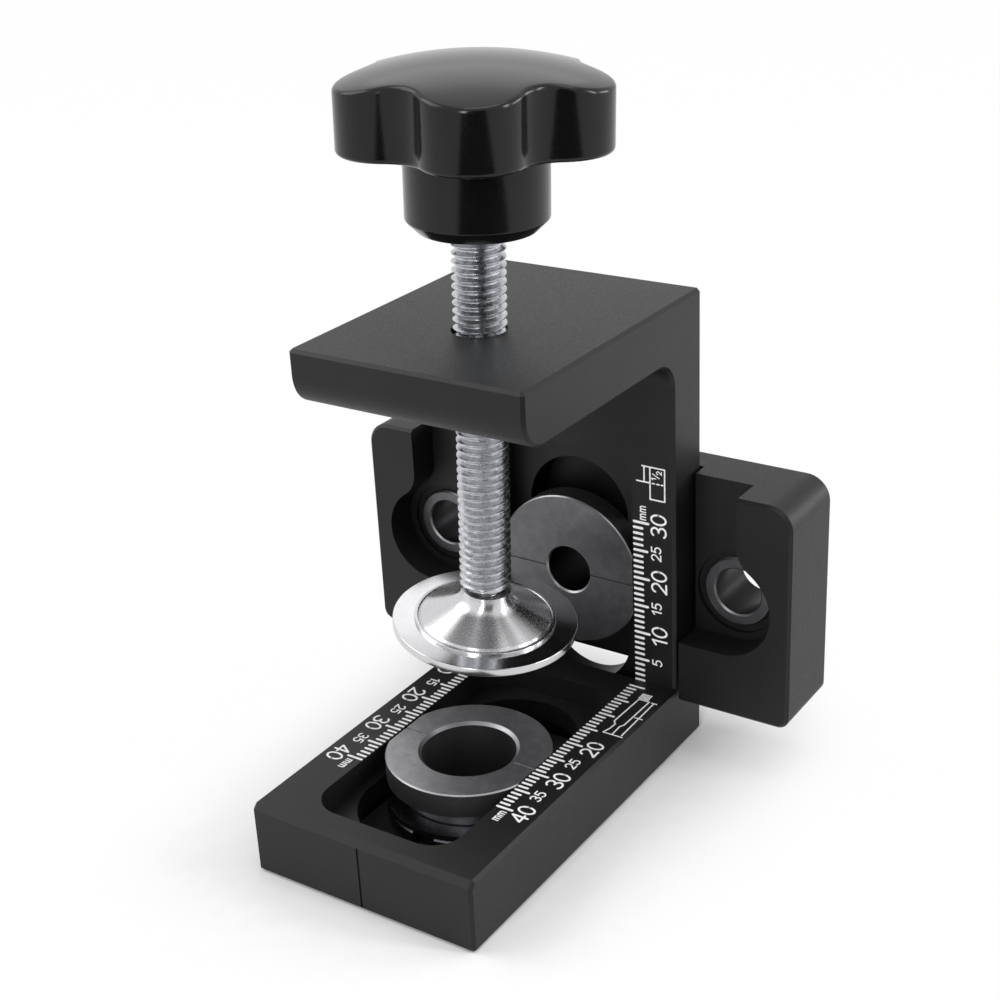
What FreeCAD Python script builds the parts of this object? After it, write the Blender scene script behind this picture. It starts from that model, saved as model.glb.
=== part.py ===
import FreeCAD, Part
import math
import os
import re
import Sketcher

os.makedirs("parts", exist_ok=True)

# Doweling jig in millimetres. The origin is where the fence face of the leg meets
# the table face of the base arm, midway across. X runs across, Y runs from the free
# ends of the arms towards the leg, Z runs up.
# A half width or a radius is named as such; every other size is a whole length.
SIZES = [
    ("frame_width", 40, "width of the leg and of both arms"),
    ("leg_thick", 9, "thickness of the leg"),
    ("base_thick", 12, "thickness of the base arm, below the table face"),
    ("base_reach", 60, "length of the base arm in front of the fence face"),
    ("throat_height", 57.2, "table face to the underside of the top arm"),
    ("top_thick", 9.2, "thickness of the top arm"),
    ("top_reach", 41.5, "length of the top arm in front of the fence face"),
    ("throat_round", 4.5, "inner round where the leg meets the top arm"),
    ("end_round", 5, "round under the free end of the top arm"),
    ("edge_bevel", 0.5, "bevel along the outer edges"),
    ("front_bevel", 1, "bevel along the top front edge of the base arm"),
    ("pocket_round", 5, "corner radius of both flange pockets"),
    ("pocket_play", 0.25, "side clearance of a flange in its pocket"),
    ("leg_pocket_low", 8.8, "leg pocket, lower end below the table face"),
    ("leg_pocket_high", 40.1, "leg pocket, upper end above the table face"),
    ("leg_ledge", 3.8, "leg pocket end to slot end"),
    ("base_pocket_near", 5.9, "base pocket, end next to the leg"),
    ("front_wall", 4.3, "wall between the base pocket and the front end"),
    ("base_ledge", 2.4, "base pocket end to slot end"),
    ("slot_play", 0.35, "side clearance of a barrel in its slot"),
    ("nut_recess", 4.6, "depth of the nut recess under the base arm"),
    ("nut_play", 0.5, "side clearance of a nut in its recess"),
    ("flange_radius", 13.2, "radius of both bush flanges"),
    ("flange_flat", 12.2, "centre line to the flats of both bush flanges"),
    ("flange_thick", 3.9, "thickness of both bush flanges"),
    ("flange_sink", 0.1, "flange face below the face of the arm or leg"),
    ("index_width", 0.35, "width of the index lines"),
    ("index_depth", 0.2, "depth of the index lines"),
    ("cam_bore", 7.5, "bore radius of the cam bush"),
    ("cam_mouth", 0.5, "bevel at the mouth of the cam bush"),
    ("cam_barrel", 10.5, "barrel radius of the cam bush"),
    ("cam_barrel_end", 0.4, "barrel end above the underside of the base arm"),
    ("cam_reach", 31, "fence face to the cam bush axis"),
    ("centre_bore", 4, "bore radius of the centre bush"),
    ("centre_mouth", 0.3, "bevel at the mouth of the drill bushes"),
    ("centre_barrel", 9, "barrel radius of the centre bush"),
    ("centre_height", 17.4, "table face to the axes of the three drill bushes"),
    ("washer_thick", 0.8, "thickness of both washers"),
    ("washer_play", 0.3, "radial clearance of a washer on its barrel"),
    ("nut_radius", 13.5, "radius of both round nuts"),
    ("cam_nut_thick", 3, "thickness of the cam bush nut"),
    ("centre_nut_thick", 4, "thickness of the centre bush nut"),
    ("nut_bevel", 0.5, "bevel on the outer edges of both nuts"),
    ("nut_slots", 4, "wrench slots round each nut"),
    ("nut_slot_width", 4, "width of a wrench slot"),
    ("nut_slot_depth", 1.8, "depth of a wrench slot"),
    ("barrel_spare", 0.6, "barrel of the centre bush past its nut"),
    ("block_side", 11.8, "outer drill bushes to the side of the cross block"),
    ("block_thick", 14.6, "thickness of the cross block"),
    ("block_half_height", 19.3, "half height of the cross block"),
    ("block_top_round", 4, "top corners of the cross block"),
    ("block_foot_round", 2, "bottom corners of the cross block"),
    ("channel_play", 0.6, "side clearance of the leg in the channel"),
    ("slide_play", 0.05, "clearance between the leg and the channel floor"),
    ("barrel_play", 0.1, "radial clearance of the centre barrel in the block"),
    ("bush_beside", 8.2, "side of the leg to the outer drill bushes"),
    ("bush_radius", 6, "outer radius of the outer drill bushes"),
    ("bush_bore", 4, "bore radius of the outer drill bushes"),
    ("bush_length", 10, "length of the outer drill bushes"),
    ("press_play", 0.01, "radial gap left round a pressed or bonded piece"),
    ("wing_depth", 6, "depth of the wing recess from the fence plane"),
    ("wing_lobe", 8.4, "radius of the recess round an outer bush"),
    ("wing_side", 2.55, "outer drill bushes to the straight wall of the recess"),
    ("wing_round", 5, "round from the lobe to the straight wall"),
    ("spot_radius", 7.2, "radius of the spot face round an outer bush"),
    ("spot_depth", 0.7, "depth of the spot face"),
    ("joint_step", 0.3, "foot of the leg set back under a ledge for the base arm"),
    ("joint_inset", 4.6, "side of the leg to the joint screws"),
    ("joint_drop", 4.4, "joint screws below the table face"),
    ("joint_radius", 2, "thread radius of the joint screws"),
    ("joint_head", 3.7, "head radius of the joint screws"),
    ("joint_length", 16, "length of the joint screws"),
    ("joint_hex", 1.25, "half width of the hexagon socket"),
    ("joint_hex_depth", 1.4, "depth of the hexagon socket"),
    ("joint_play", 0.15, "radial clearance of the joint screws in the leg"),
    ("thread_play", 0.05, "radial clearance left in every thread"),
    ("hole_spare", 1, "blind hole past the end of a screw or pin"),
    ("pin_inset", 3.6, "side of the leg to the locating pins"),
    ("pin_drop", 9.2, "locating pins below the table face"),
    ("pin_radius", 1.5, "radius of the locating pins"),
    ("pin_length", 10, "length of the locating pins"),
    ("pin_bevel", 0.3, "bevel on the ends of the locating pins"),
    ("screw_reach", 22, "fence face to the clamp screw axis, halfway up the top arm"),
    ("screw_lean", 1.72, "lean of the clamp screw in its thread, in degrees"),
    ("screw_lean_turn", 34.5, "direction the screw leans towards from X, in degrees"),
    ("screw_radius", 4, "thread radius of the clamp screw"),
    ("screw_bevel", 0.5, "bevel on the ends of the clamp thread"),
    ("screw_shoulder", 2.6, "ball centre to the end of the thread"),
    ("screw_in_knob", 15, "length of the clamp screw inside the knob"),
    ("neck_radius", 1.5, "radius of the neck above the ball"),
    ("ball_radius", 2.5, "radius of the ball"),
    ("ball_below", 39.8, "halfway up the top arm down to the ball centre"),
    ("ball_play", 0.1, "clearance between the ball and its cup"),
    ("seat_wall", 0.5, "wall of the cup"),
    ("seat_rim", 0.8, "cup rim below the ball centre"),
    ("pad_radius", 14.5, "radius of the pressure plate"),
    ("pad_edge", 0.15, "bevel along the edges of the plate"),
    ("pad_thick", 1.3, "thickness of the plate"),
    ("pad_drop", 3.15, "ball centre to the top of the plate"),
    ("pad_lean", 6.8, "lean of the pad as it rests, in degrees"),
    ("pad_lean_turn", 81.5, "direction of the lean axis from X, in degrees"),
    ("bead_radius", 11.1, "outer radius of the dome bead"),
    ("bead_tall", 0.5, "height of the dome bead"),
    ("bead_width", 0.5, "width of the dome bead"),
    ("bell_rise", 0.6, "ball centre up to where the bell meets the neck"),
    ("dome_neck", 3.9, "outer radius of the dome neck"),
    ("dome_top", 2.1, "ball centre to the top of the dome"),
    ("dome_round", 1.8, "round between the bell and the neck"),
    ("dome_wall", 1.3, "wall of the dome, measured across"),
    ("dome_grip", 0.25, "clearance between the ball and the dome above it"),
    ("dome_hole", 2.2, "radius of the hole in the dome neck"),
    ("knob_above", 19.5, "halfway up the top arm up to the bottom of the knob hub"),
    ("hub_radius", 10.4, "radius of the knob hub"),
    ("hub_tall", 11.8, "height of the knob hub"),
    ("hub_bevel", 1.8, "bevel round the bottom of the hub"),
    ("rim_tall", 9.1, "height of the lobes at their tips"),
    ("crown_rise", 3.45, "rise of the crown over the lobe tips"),
    ("knob_lobes", 5, "number of lobes"),
    ("lobe_tip", 19.8, "axis to the tip of a lobe"),
    ("lobe_round", 7.4, "radius of a lobe"),
    ("valley_round", 6.3, "radius of a valley between lobes"),
    ("rim_round", 0.8, "round along the edges of the lobes"),
    ("knob_turn", 14, "turn of the first lobe from X, in degrees"),
    ("insert_radius", 6.5, "outer radius of the knob insert"),
    ("insert_tall", 14, "length of the knob insert"),
    ("insert_bevel", 0.4, "bevel on the ends of the knob insert"),
]

doc = FreeCAD.newDocument("DowelingJig")
sheet = doc.addObject("Spreadsheet::Sheet", "Sizes")
for row, (alias, number, note) in enumerate(SIZES, 1):
    sheet.set("A%d" % row, note)
    sheet.set("B%d" % row, str(number))
    sheet.setAlias("B%d" % row, alias)
doc.recompute()

ALIASES = {alias for alias, number, note in SIZES}


def full(text):
    """Write an expression on the sheet's aliases out with the sheet's name."""
    def named(match):
        word = match.group()
        return "Sizes." + word if word in ALIASES else word
    return re.sub(r"[a-z_]+", named, text)


def value(text):
    """Number that an expression on the sheet's aliases gives now."""
    return float(sheet.evalExpression(full(text)))


def bind(item, path, text):
    """Tie one property of an object to an expression on the sheet."""
    item.setExpression(path, full(text))


# Sketch helpers

def new_body(label, **place):
    """Body with a label and a bound position, such as y="leg_thick"."""
    body = doc.addObject("PartDesign::Body", label.title().replace("_", ""))
    body.Label = label
    for axis, text in place.items():
        bind(body, "Placement.Base." + axis, text)
    return body


def new_sketch(body, name, role, offset="0"):
    """Sketch on one of the body's own origin planes, moved along its normal."""
    plane = next(item for item in body.Origin.OriginFeatures if item.Role == role)
    sketch = body.newObject("Sketcher::SketchObject", name)
    sketch.AttachmentSupport = [(plane, "")]
    sketch.MapMode = "FlatFace"
    bind(sketch, "AttachmentOffset.Base.z", offset)
    return sketch


def size_constraint(sketch, constraint, text):
    """Add a dimension and tie it to its expression."""
    number = sketch.addConstraint(constraint)
    bind(sketch, "Constraints[%d]" % number, text)


def pin_point(sketch, index, position, across, up):
    """Place one point of a sketch element by two expressions."""
    for kind, text in (("DistanceX", across), ("DistanceY", up)):
        constraint = Sketcher.Constraint(kind, index, position, value(text))
        size_constraint(sketch, constraint, text)


def arc_between(start, end, radius, side):
    """Arc from start to end whose centre lies to the left (1) or right (-1)."""
    middle = (start + end) * 0.5
    along = end - start
    off = math.sqrt(max(radius ** 2 - along.Length ** 2 / 4, 0))
    normal = FreeCAD.Vector(-along.y, along.x, 0).normalize() * side
    centre = middle + normal * off
    angles = [math.atan2(p.y - centre.y, p.x - centre.x) for p in (start, end)]
    if side < 0:
        angles.reverse()
    circle = Part.Circle(centre, FreeCAD.Vector(0, 0, 1), radius)
    return Part.ArcOfCircle(circle, *angles)


def draw_loop(sketch, points):
    """Closed loop through points (across, up), each an expression.

    A point with a radius and a side as well starts an arc to the next point.
    """
    places = [FreeCAD.Vector(value(p[0]), value(p[1]), 0) for p in points]
    ends = []
    for number, point in enumerate(points):
        start = places[number]
        end = places[(number + 1) % len(points)]
        if len(point) == 2:
            index = sketch.addGeometry(Part.LineSegment(start, end))
            ends.append((index, 1, 2))
        else:
            arc = arc_between(start, end, value(point[2]), point[3])
            index = sketch.addGeometry(arc)
            ends.append((index, 1, 2) if point[3] > 0 else (index, 2, 1))
    for number, (index, first, last) in enumerate(ends):
        following = ends[(number + 1) % len(ends)]
        sketch.addConstraint(Sketcher.Constraint("Coincident", index, last, following[0], following[1]))
        pin_point(sketch, index, first, points[number][0], points[number][1])
        if len(points[number]) > 2:
            radius = points[number][2]
            constraint = Sketcher.Constraint("Radius", index, value(radius))
            size_constraint(sketch, constraint, radius)


def draw_box(sketch, left, right, low, high):
    """Rectangle between four expressions."""
    draw_loop(sketch, [(left, low), (right, low), (right, high), (left, high)])


def draw_round_box(sketch, left, right, low, high, low_round, high_round):
    """Rectangle with one radius at the lower corners and one at the upper."""
    draw_loop(sketch, [
        (f"{left} + {low_round}", low),
        (f"{right} - {low_round}", low, low_round, 1),
        (right, f"{low} + {low_round}"),
        (right, f"{high} - {high_round}", high_round, 1),
        (f"{right} - {high_round}", high),
        (f"{left} + {high_round}", high, high_round, 1),
        (left, f"{high} - {high_round}"),
        (left, f"{low} + {low_round}", low_round, 1),
    ])


def draw_circle(sketch, across, up, radius):
    """Circle with a bound centre and radius."""
    centre = FreeCAD.Vector(value(across), value(up), 0)
    index = sketch.addGeometry(Part.Circle(centre, FreeCAD.Vector(0, 0, 1), value(radius)))
    pin_point(sketch, index, 3, across, up)
    size_constraint(sketch, Sketcher.Constraint("Radius", index, value(radius)), radius)


def draw_slot(sketch, low, high, radius):
    """Upright slot on the sketch's vertical axis, between two end centres."""
    reach = value(radius)
    bottom = FreeCAD.Vector(0, value(low), 0)
    top = FreeCAD.Vector(0, value(high), 0)
    side = FreeCAD.Vector(reach, 0, 0)
    up = FreeCAD.Vector(0, 0, 1)
    sketch.addGeometry(Part.ArcOfCircle(Part.Circle(bottom, up, reach), math.pi, 2 * math.pi))
    sketch.addGeometry(Part.LineSegment(bottom + side, top + side))
    sketch.addGeometry(Part.ArcOfCircle(Part.Circle(top, up, reach), 0, math.pi))
    sketch.addGeometry(Part.LineSegment(top - side, bottom - side))
    for first in range(4):
        sketch.addConstraint(Sketcher.Constraint("Tangent", first, 2, (first + 1) % 4, 1))
    sketch.addConstraint(Sketcher.Constraint("Equal", 0, 2))
    pin_point(sketch, 0, 3, "0", low)
    pin_point(sketch, 2, 3, "0", high)
    size_constraint(sketch, Sketcher.Constraint("Radius", 0, reach), radius)


# Feature helpers

def add_pad(body, sketch, length, both_sides=False, backwards=False):
    """Pad of a bound length."""
    pad = body.newObject("PartDesign::Pad", sketch.Name + "Pad")
    pad.Profile = sketch
    bind(pad, "Length", length)
    pad.SideType = "Symmetric" if both_sides else "One side"
    pad.Reversed = backwards
    doc.recompute()
    return pad


def cut(body, kind, sketch, settings):
    """Subtractive feature; fails loudly when it takes nothing away."""
    before = body.Shape.Volume
    feature = body.newObject(kind, sketch.Name + "Cut")
    feature.Profile = sketch
    settings(feature)
    doc.recompute()
    if feature.Shape.Volume > before - 1e-4:
        raise RuntimeError("nothing cut by " + feature.Name)
    return feature


def add_pocket(body, sketch, depth, backwards=False):
    """Pocket of a bound depth, against the sketch's normal unless backwards."""
    def settings(feature):
        bind(feature, "Length", depth)
        feature.Reversed = backwards
    return cut(body, "PartDesign::Pocket", sketch, settings)


def add_groove(body, sketch):
    """Full turn cut round the sketch's vertical axis."""
    def settings(feature):
        feature.ReferenceAxis = (sketch, ["V_Axis"])
        feature.Angle = 360
    return cut(body, "PartDesign::Groove", sketch, settings)


def add_turned(body, name, points):
    """Solid turned about the body's Z axis from a profile in the XZ plane."""
    sketch = new_sketch(body, name, "XZ_Plane")
    draw_loop(sketch, points)
    turned = body.newObject("PartDesign::Revolution", name + "Turned")
    turned.Profile = sketch
    turned.ReferenceAxis = (sketch, ["V_Axis"])
    turned.Angle = 360
    doc.recompute()
    return turned


def around(body, feature, count):
    """Polar pattern of a feature about the body's Z axis."""
    pattern = body.newObject("PartDesign::PolarPattern", feature.Name + "Around")
    pattern.Originals = [feature]
    axis = next(item for item in body.Origin.OriginFeatures if item.Role == "Z_Axis")
    pattern.Axis = (axis, [""])
    pattern.Angle = 360
    bind(pattern, "Occurrences", count)
    body.Tip = pattern
    doc.recompute()
    return pattern


def dress(body, kind, name, size, test):
    """Fillet or chamfer on the edges that pass a test."""
    base = body.Tip
    edges = ["Edge%d" % n for n, edge in enumerate(base.Shape.Edges, 1) if test(edge)]
    if not edges:
        raise RuntimeError("no edge found for " + name)
    feature = body.newObject(kind, name)
    feature.Base = (base, edges)
    bind(feature, "Radius" if kind.endswith("Fillet") else "Size", size)
    doc.recompute()
    return feature


def near(first, second):
    """Whether two lengths are the same for the purpose of finding an edge."""
    return abs(first - second) < 1e-4


def ring_test(radius, height):
    """Test for a circular edge about Z with this radius at this height."""
    def test(edge):
        if not isinstance(edge.Curve, Part.Circle):
            return False
        centre = edge.Curve.Center
        at_height = near(centre.z, value(height))
        on_axis = near(math.hypot(centre.x, centre.y), 0)
        return near(edge.Curve.Radius, value(radius)) and at_height and on_axis
    return test


def box_of(edge):
    """Bounding box of an edge as three (low, high) pairs."""
    box = edge.BoundBox
    return (box.XMin, box.XMax), (box.YMin, box.YMax), (box.ZMin, box.ZMax)


def lies_at(pair, *places):
    """Whether an extent is flat and lies at one of the given places."""
    return near(*pair) and any(near(pair[0], place) for place in places)


# Shared places

TOP = "(throat_height + top_thick)"
POCKET_HALF = "(flange_flat + pocket_play)"
BASE_SLOT_NEAR = "(base_pocket_near + base_ledge + cam_barrel + slot_play)"
BASE_POCKET_FAR = "(base_reach - front_wall)"
BASE_SLOT_FAR = "(base_reach - front_wall - base_ledge - cam_barrel - slot_play)"
NUT_RECESS_HALF = "(nut_radius + nut_play)"
WEB_BOTTOM = "(base_thick - nut_recess)"
JOINT_HOLE = "(joint_radius + joint_play)"
JOINT_ACROSS = "(frame_width / 2 - joint_inset)"
PIN_ACROSS = "(frame_width / 2 - pin_inset)"
BUSH_ACROSS = "(frame_width / 2 + bush_beside)"
BLOCK_HALF = "(frame_width / 2 + bush_beside + block_side)"
SEAT_RADIUS = "(ball_radius + ball_play + seat_wall)"
THREAD_MIDDLE = "(throat_height + top_thick / 2)"


# Leg and top arm, one piece of aluminium

def build_clamp_frame():
    """Inverted L with the flange pocket, its slot and the thread of the clamp screw."""
    body = new_body("clamp_frame")
    half = value("frame_width / 2")
    side = new_sketch(body, "FrameSide", "YZ_Plane")
    draw_loop(side, [
        ("leg_thick", "0"),
        ("leg_thick", TOP),
        ("-top_reach", TOP),
        ("-top_reach", "throat_height + end_round", "end_round", 1),
        ("-top_reach + end_round", "throat_height"),
        ("-throat_round", "throat_height", "throat_round", -1),
        ("0", "throat_height - throat_round"),
        ("0", "0"),
    ])
    add_pad(body, side, "frame_width", both_sides=True)

    # Bevels along the inside of the throat stop at the table face.
    def inside_edge(edge):
        across, deep, up = box_of(edge)
        below_top = up[1] < value(TOP) - 0.01 or lies_at(deep, -value("top_reach"))
        before_leg = deep[1] < 0.001 and up[1] > 0.001
        return lies_at(across, -half, half) and before_leg and below_top
    dress(body, "PartDesign::Chamfer", "ThroatBevel", "edge_bevel", inside_edge)

    foot = new_sketch(body, "Foot", "XY_Plane")
    draw_box(foot, "-frame_width / 2", "frame_width / 2", "joint_step", "leg_thick")
    add_pad(body, foot, "base_thick", backwards=True)

    def outer_edge(edge):
        across, deep, up = box_of(edge)
        back = lies_at(deep, value("leg_thick"))
        foot_end = lies_at(up, -value("base_thick")) and deep[1] > 0.001
        top = lies_at(up, value(TOP))
        return back or foot_end or top
    dress(body, "PartDesign::Chamfer", "OuterBevel", "edge_bevel", outer_edge)

    pocket = new_sketch(body, "LegPocket", "XZ_Plane")
    draw_round_box(pocket, f"-{POCKET_HALF}", POCKET_HALF, "-leg_pocket_low", "leg_pocket_high",
                   "pocket_round", "pocket_round")
    add_pocket(body, pocket, "flange_thick + flange_sink")

    slot = new_sketch(body, "LegSlot", "XZ_Plane")
    draw_slot(slot, "-leg_pocket_low + leg_ledge + centre_barrel + slot_play",
              "leg_pocket_high - leg_ledge - centre_barrel - slot_play", "centre_barrel + slot_play")
    add_pocket(body, slot, "leg_thick + edge_bevel")

    # The screw leans inside this hole by the play of its thread.
    thread = new_sketch(body, "ClampThread", "XY_Plane", TOP)
    draw_circle(thread, "0", "-screw_reach",
                "(screw_radius + thread_play) / cos(screw_lean) + top_thick / 2 * tan(screw_lean)")
    add_pocket(body, thread, "top_thick + edge_bevel")

    for sign, name in (("-", "Left"), ("", "Right")):
        drill_leg_joint(body, name, sign)
    return body


def drill_leg_joint(body, name, sign):
    """Countersunk screw hole from the back of the leg and a blind pin hole."""
    across = f"{sign}{JOINT_ACROSS}"
    hole = new_sketch(body, name + "JointHole", "XZ_Plane")
    draw_circle(hole, across, "-joint_drop", JOINT_HOLE)
    add_pocket(body, hole, "leg_thick + edge_bevel")
    sink = new_sketch(body, name + "Countersink", "XZ_Plane", "-leg_thick")
    draw_circle(sink, across, "-joint_drop", "joint_head + thread_play")
    cone = add_pocket(body, sink, f"joint_head + thread_play - {JOINT_HOLE}", backwards=True)
    cone.TaperAngle = -45
    doc.recompute()
    pin = new_sketch(body, name + "PinHole", "XZ_Plane")
    draw_circle(pin, f"{sign}{PIN_ACROSS}", "-pin_drop", "pin_radius + press_play")
    add_pocket(body, pin, "pin_length / 2 + hole_spare")


# Base arm, bolted and pinned to the foot of the leg

def build_base_arm():
    """Bar with the flange pocket above, the nut recess below and a slot between.

    Its end goes under the ledge of the leg, sloped so that the table face ends at the fence.
    """
    body = new_body("base_arm")
    half = value("frame_width / 2")
    side = new_sketch(body, "ArmSide", "YZ_Plane")
    draw_loop(side, [
        ("-base_reach", "-base_thick"),
        ("joint_step", "-base_thick"),
        ("joint_step", "-joint_step"),
        ("0", "0"),
        ("-base_reach + front_bevel", "0"),
        ("-base_reach", "-front_bevel"),
    ])
    add_pad(body, side, "frame_width", both_sides=True)

    # The edges at the joint with the leg stay sharp.
    def outer_edge(edge):
        across, deep, up = box_of(edge)
        in_front = not near(*deep) and deep[0] < -0.001
        along = lies_at(across, -half, half) and in_front
        front = lies_at(deep, -value("base_reach")) and up[0] < -value("front_bevel") - 0.001
        return along or front
    dress(body, "PartDesign::Chamfer", "ArmBevel", "edge_bevel", outer_edge)

    pocket = new_sketch(body, "ArmPocket", "XY_Plane")
    draw_round_box(pocket, f"-{POCKET_HALF}", POCKET_HALF, f"-{BASE_POCKET_FAR}", "-base_pocket_near",
                   "pocket_round", "pocket_round")
    add_pocket(body, pocket, "flange_thick + flange_sink")

    slot = new_sketch(body, "ArmSlot", "XY_Plane")
    draw_slot(slot, f"-{BASE_SLOT_FAR}", f"-{BASE_SLOT_NEAR}", "cam_barrel + slot_play")
    add_pocket(body, slot, "base_thick + edge_bevel")

    # The flange of the centre bush passes here when it is set low.
    relief = new_sketch(body, "FlangeRelief", "XZ_Plane", "-joint_step")
    draw_round_box(relief, f"-{POCKET_HALF}", POCKET_HALF, "-leg_pocket_low", "leg_pocket_high",
                   "pocket_round", "pocket_round")
    add_pocket(body, relief, "joint_step", backwards=True)

    recess = new_sketch(body, "NutRecess", "XY_Plane", "-base_thick")
    draw_slot(recess, f"-{BASE_SLOT_FAR}", f"-{BASE_SLOT_NEAR}", NUT_RECESS_HALF)
    add_pocket(body, recess, "nut_recess", backwards=True)

    mark = new_sketch(body, "FrontMark", "XZ_Plane", "base_reach")
    draw_box(mark, "-index_width / 2", "index_width / 2", "-base_thick + edge_bevel", "-front_bevel")
    add_pocket(body, mark, "index_depth")

    for sign, name in (("-", "Left"), ("", "Right")):
        thread = new_sketch(body, name + "JointThread", "XZ_Plane", "-joint_step")
        draw_circle(thread, f"{sign}{JOINT_ACROSS}", "-joint_drop", "joint_radius + thread_play")
        add_pocket(body, thread, "joint_length - leg_thick + hole_spare + joint_step", backwards=True)
        pin = new_sketch(body, name + "ArmPinHole", "XZ_Plane", "-joint_step")
        draw_circle(pin, f"{sign}{PIN_ACROSS}", "-pin_drop", "pin_radius + press_play")
        add_pocket(body, pin, "pin_length / 2 + hole_spare + joint_step", backwards=True)
    return body


# Fasteners of the joint, turned about their own Z, head or end at the local origin

def face_back(body):
    """Turn local Z to point to the back, along +Y."""
    body.Placement.Rotation = FreeCAD.Rotation(FreeCAD.Vector(1, 0, 0), -90)


def face_front(body):
    """Turn local Z to point to the front, along -Y."""
    body.Placement.Rotation = FreeCAD.Rotation(FreeCAD.Vector(1, 0, 0), 90)


def build_arm_screw(label, sign):
    """Countersunk socket screw whose head lies flush with the back of the leg."""
    body = new_body(label, x=f"{sign}{JOINT_ACROSS}", y="leg_thick", z="-joint_drop")
    face_back(body)
    add_turned(body, label + "_profile", [
        ("0", "-joint_length"),
        ("joint_radius - edge_bevel", "-joint_length"),
        ("joint_radius", "-joint_length + edge_bevel"),
        ("joint_radius", "-(joint_head - joint_radius)"),
        ("joint_head", "0"),
        ("0", "0"),
    ])
    socket = new_sketch(body, label + "_socket", "XY_Plane")
    corners = []
    for corner in range(6):
        corners.append((f"joint_hex / cos(30) * cos({60 * corner})",
                        f"joint_hex / cos(30) * sin({60 * corner})"))
    draw_loop(socket, corners)
    add_pocket(body, socket, "joint_hex_depth")
    return body


def build_arm_pin(label, sign):
    """Parallel pin half in the leg and half in the base arm."""
    body = new_body(label, x=f"{sign}{PIN_ACROSS}", z="-pin_drop")
    face_back(body)
    add_turned(body, label + "_profile", [
        ("0", "-pin_length / 2"),
        ("pin_radius - pin_bevel", "-pin_length / 2"),
        ("pin_radius", "-pin_length / 2 + pin_bevel"),
        ("pin_radius", "pin_length / 2 - pin_bevel"),
        ("pin_radius - pin_bevel", "pin_length / 2"),
        ("0", "pin_length / 2"),
    ])
    return body


# Flanged bushes, top of the flange at the local origin, barrel down local Z

def build_flanged_bush(body, bore, mouth, barrel, length):
    """Bush with a flange cut by two flats and with an index line on each side."""
    name = body.Name
    add_turned(body, name + "Profile", [
        (bore, f"-({length})"),
        (f"{barrel} - edge_bevel", f"-({length})"),
        (barrel, f"-({length}) + edge_bevel"),
        (barrel, "-flange_thick"),
        ("flange_radius", "-flange_thick"),
        ("flange_radius", "-index_depth"),
        ("flange_radius - index_depth", "0"),
        (f"{bore} + {mouth}", "0"),
        (bore, f"-{mouth}"),
    ])
    flats = new_sketch(body, name + "Flats", "XY_Plane")
    draw_box(flats, "flange_flat", "flange_radius + edge_bevel", "-flange_radius", "flange_radius")
    draw_box(flats, "-flange_radius - edge_bevel", "-flange_flat", "-flange_radius", "flange_radius")
    add_pocket(body, flats, "flange_thick")
    lines = new_sketch(body, name + "Lines", "XY_Plane")
    draw_box(lines, f"{bore} + {mouth}", "flange_flat + edge_bevel", "-index_width / 2", "index_width / 2")
    draw_box(lines, "-flange_flat - edge_bevel", f"-{bore} - {mouth}", "-index_width / 2", "index_width / 2")
    add_pocket(body, lines, "index_depth")
    return body


def build_cam_bush():
    """Lower bush, in the pocket of the base arm."""
    body = new_body("cam_bush", y="-cam_reach", z="-flange_sink")
    length = "base_thick - cam_barrel_end - flange_sink"
    return build_flanged_bush(body, "cam_bore", "cam_mouth", "cam_barrel", length)


def build_centre_bush():
    """Drill bush in the leg, through the slot and the cross block."""
    body = new_body("centre_bush", y="flange_sink", z="centre_height")
    face_front(body)
    length = "block_thick + washer_thick + centre_nut_thick + barrel_spare - flange_sink"
    return build_flanged_bush(body, "centre_bore", "centre_mouth", "centre_barrel", length)


def build_washer(body, barrel):
    """Flat ring of the nut's size under a nut, top face at the local origin."""
    add_turned(body, body.Name + "Profile", [
        (f"{barrel} + washer_play", "-washer_thick"),
        ("nut_radius", "-washer_thick"),
        ("nut_radius", "0"),
        (f"{barrel} + washer_play", "0"),
    ])
    return body


def build_round_nut(body, barrel, thick):
    """Round nut with wrench slots, the face that meets the washer at the local origin."""
    name = body.Name
    add_turned(body, name + "Profile", [
        (f"{barrel} + thread_play", f"-{thick}"),
        ("nut_radius - nut_bevel", f"-{thick}"),
        ("nut_radius", f"-{thick} + nut_bevel"),
        ("nut_radius", "-nut_bevel"),
        ("nut_radius - nut_bevel", "0"),
        (f"{barrel} + thread_play", "0"),
    ])
    notch = new_sketch(body, name + "Notch", "XY_Plane")
    draw_box(notch, "nut_radius - nut_slot_depth", "nut_radius + edge_bevel",
             "-nut_slot_width / 2", "nut_slot_width / 2")
    around(body, add_pocket(body, notch, thick), "nut_slots")
    return body


def build_cam_hardware():
    """Washer and nut in the recess under the base arm."""
    washer = new_body("cam_washer", y="-cam_reach", z=f"-{WEB_BOTTOM}")
    nut = new_body("cam_nut", y="-cam_reach", z=f"-{WEB_BOTTOM} - washer_thick")
    return build_washer(washer, "cam_barrel"), build_round_nut(nut, "cam_barrel", "cam_nut_thick")


def build_centre_hardware():
    """Washer and nut behind the cross block."""
    washer = new_body("centre_washer", y="block_thick", z="centre_height")
    nut = new_body("centre_nut", y="block_thick + washer_thick", z="centre_height")
    face_front(washer)
    face_front(nut)
    build_washer(washer, "centre_barrel")
    build_round_nut(nut, "centre_barrel", "centre_nut_thick")
    return washer, nut


# Cross block, with the axis of the centre bush at the local origin

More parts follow.
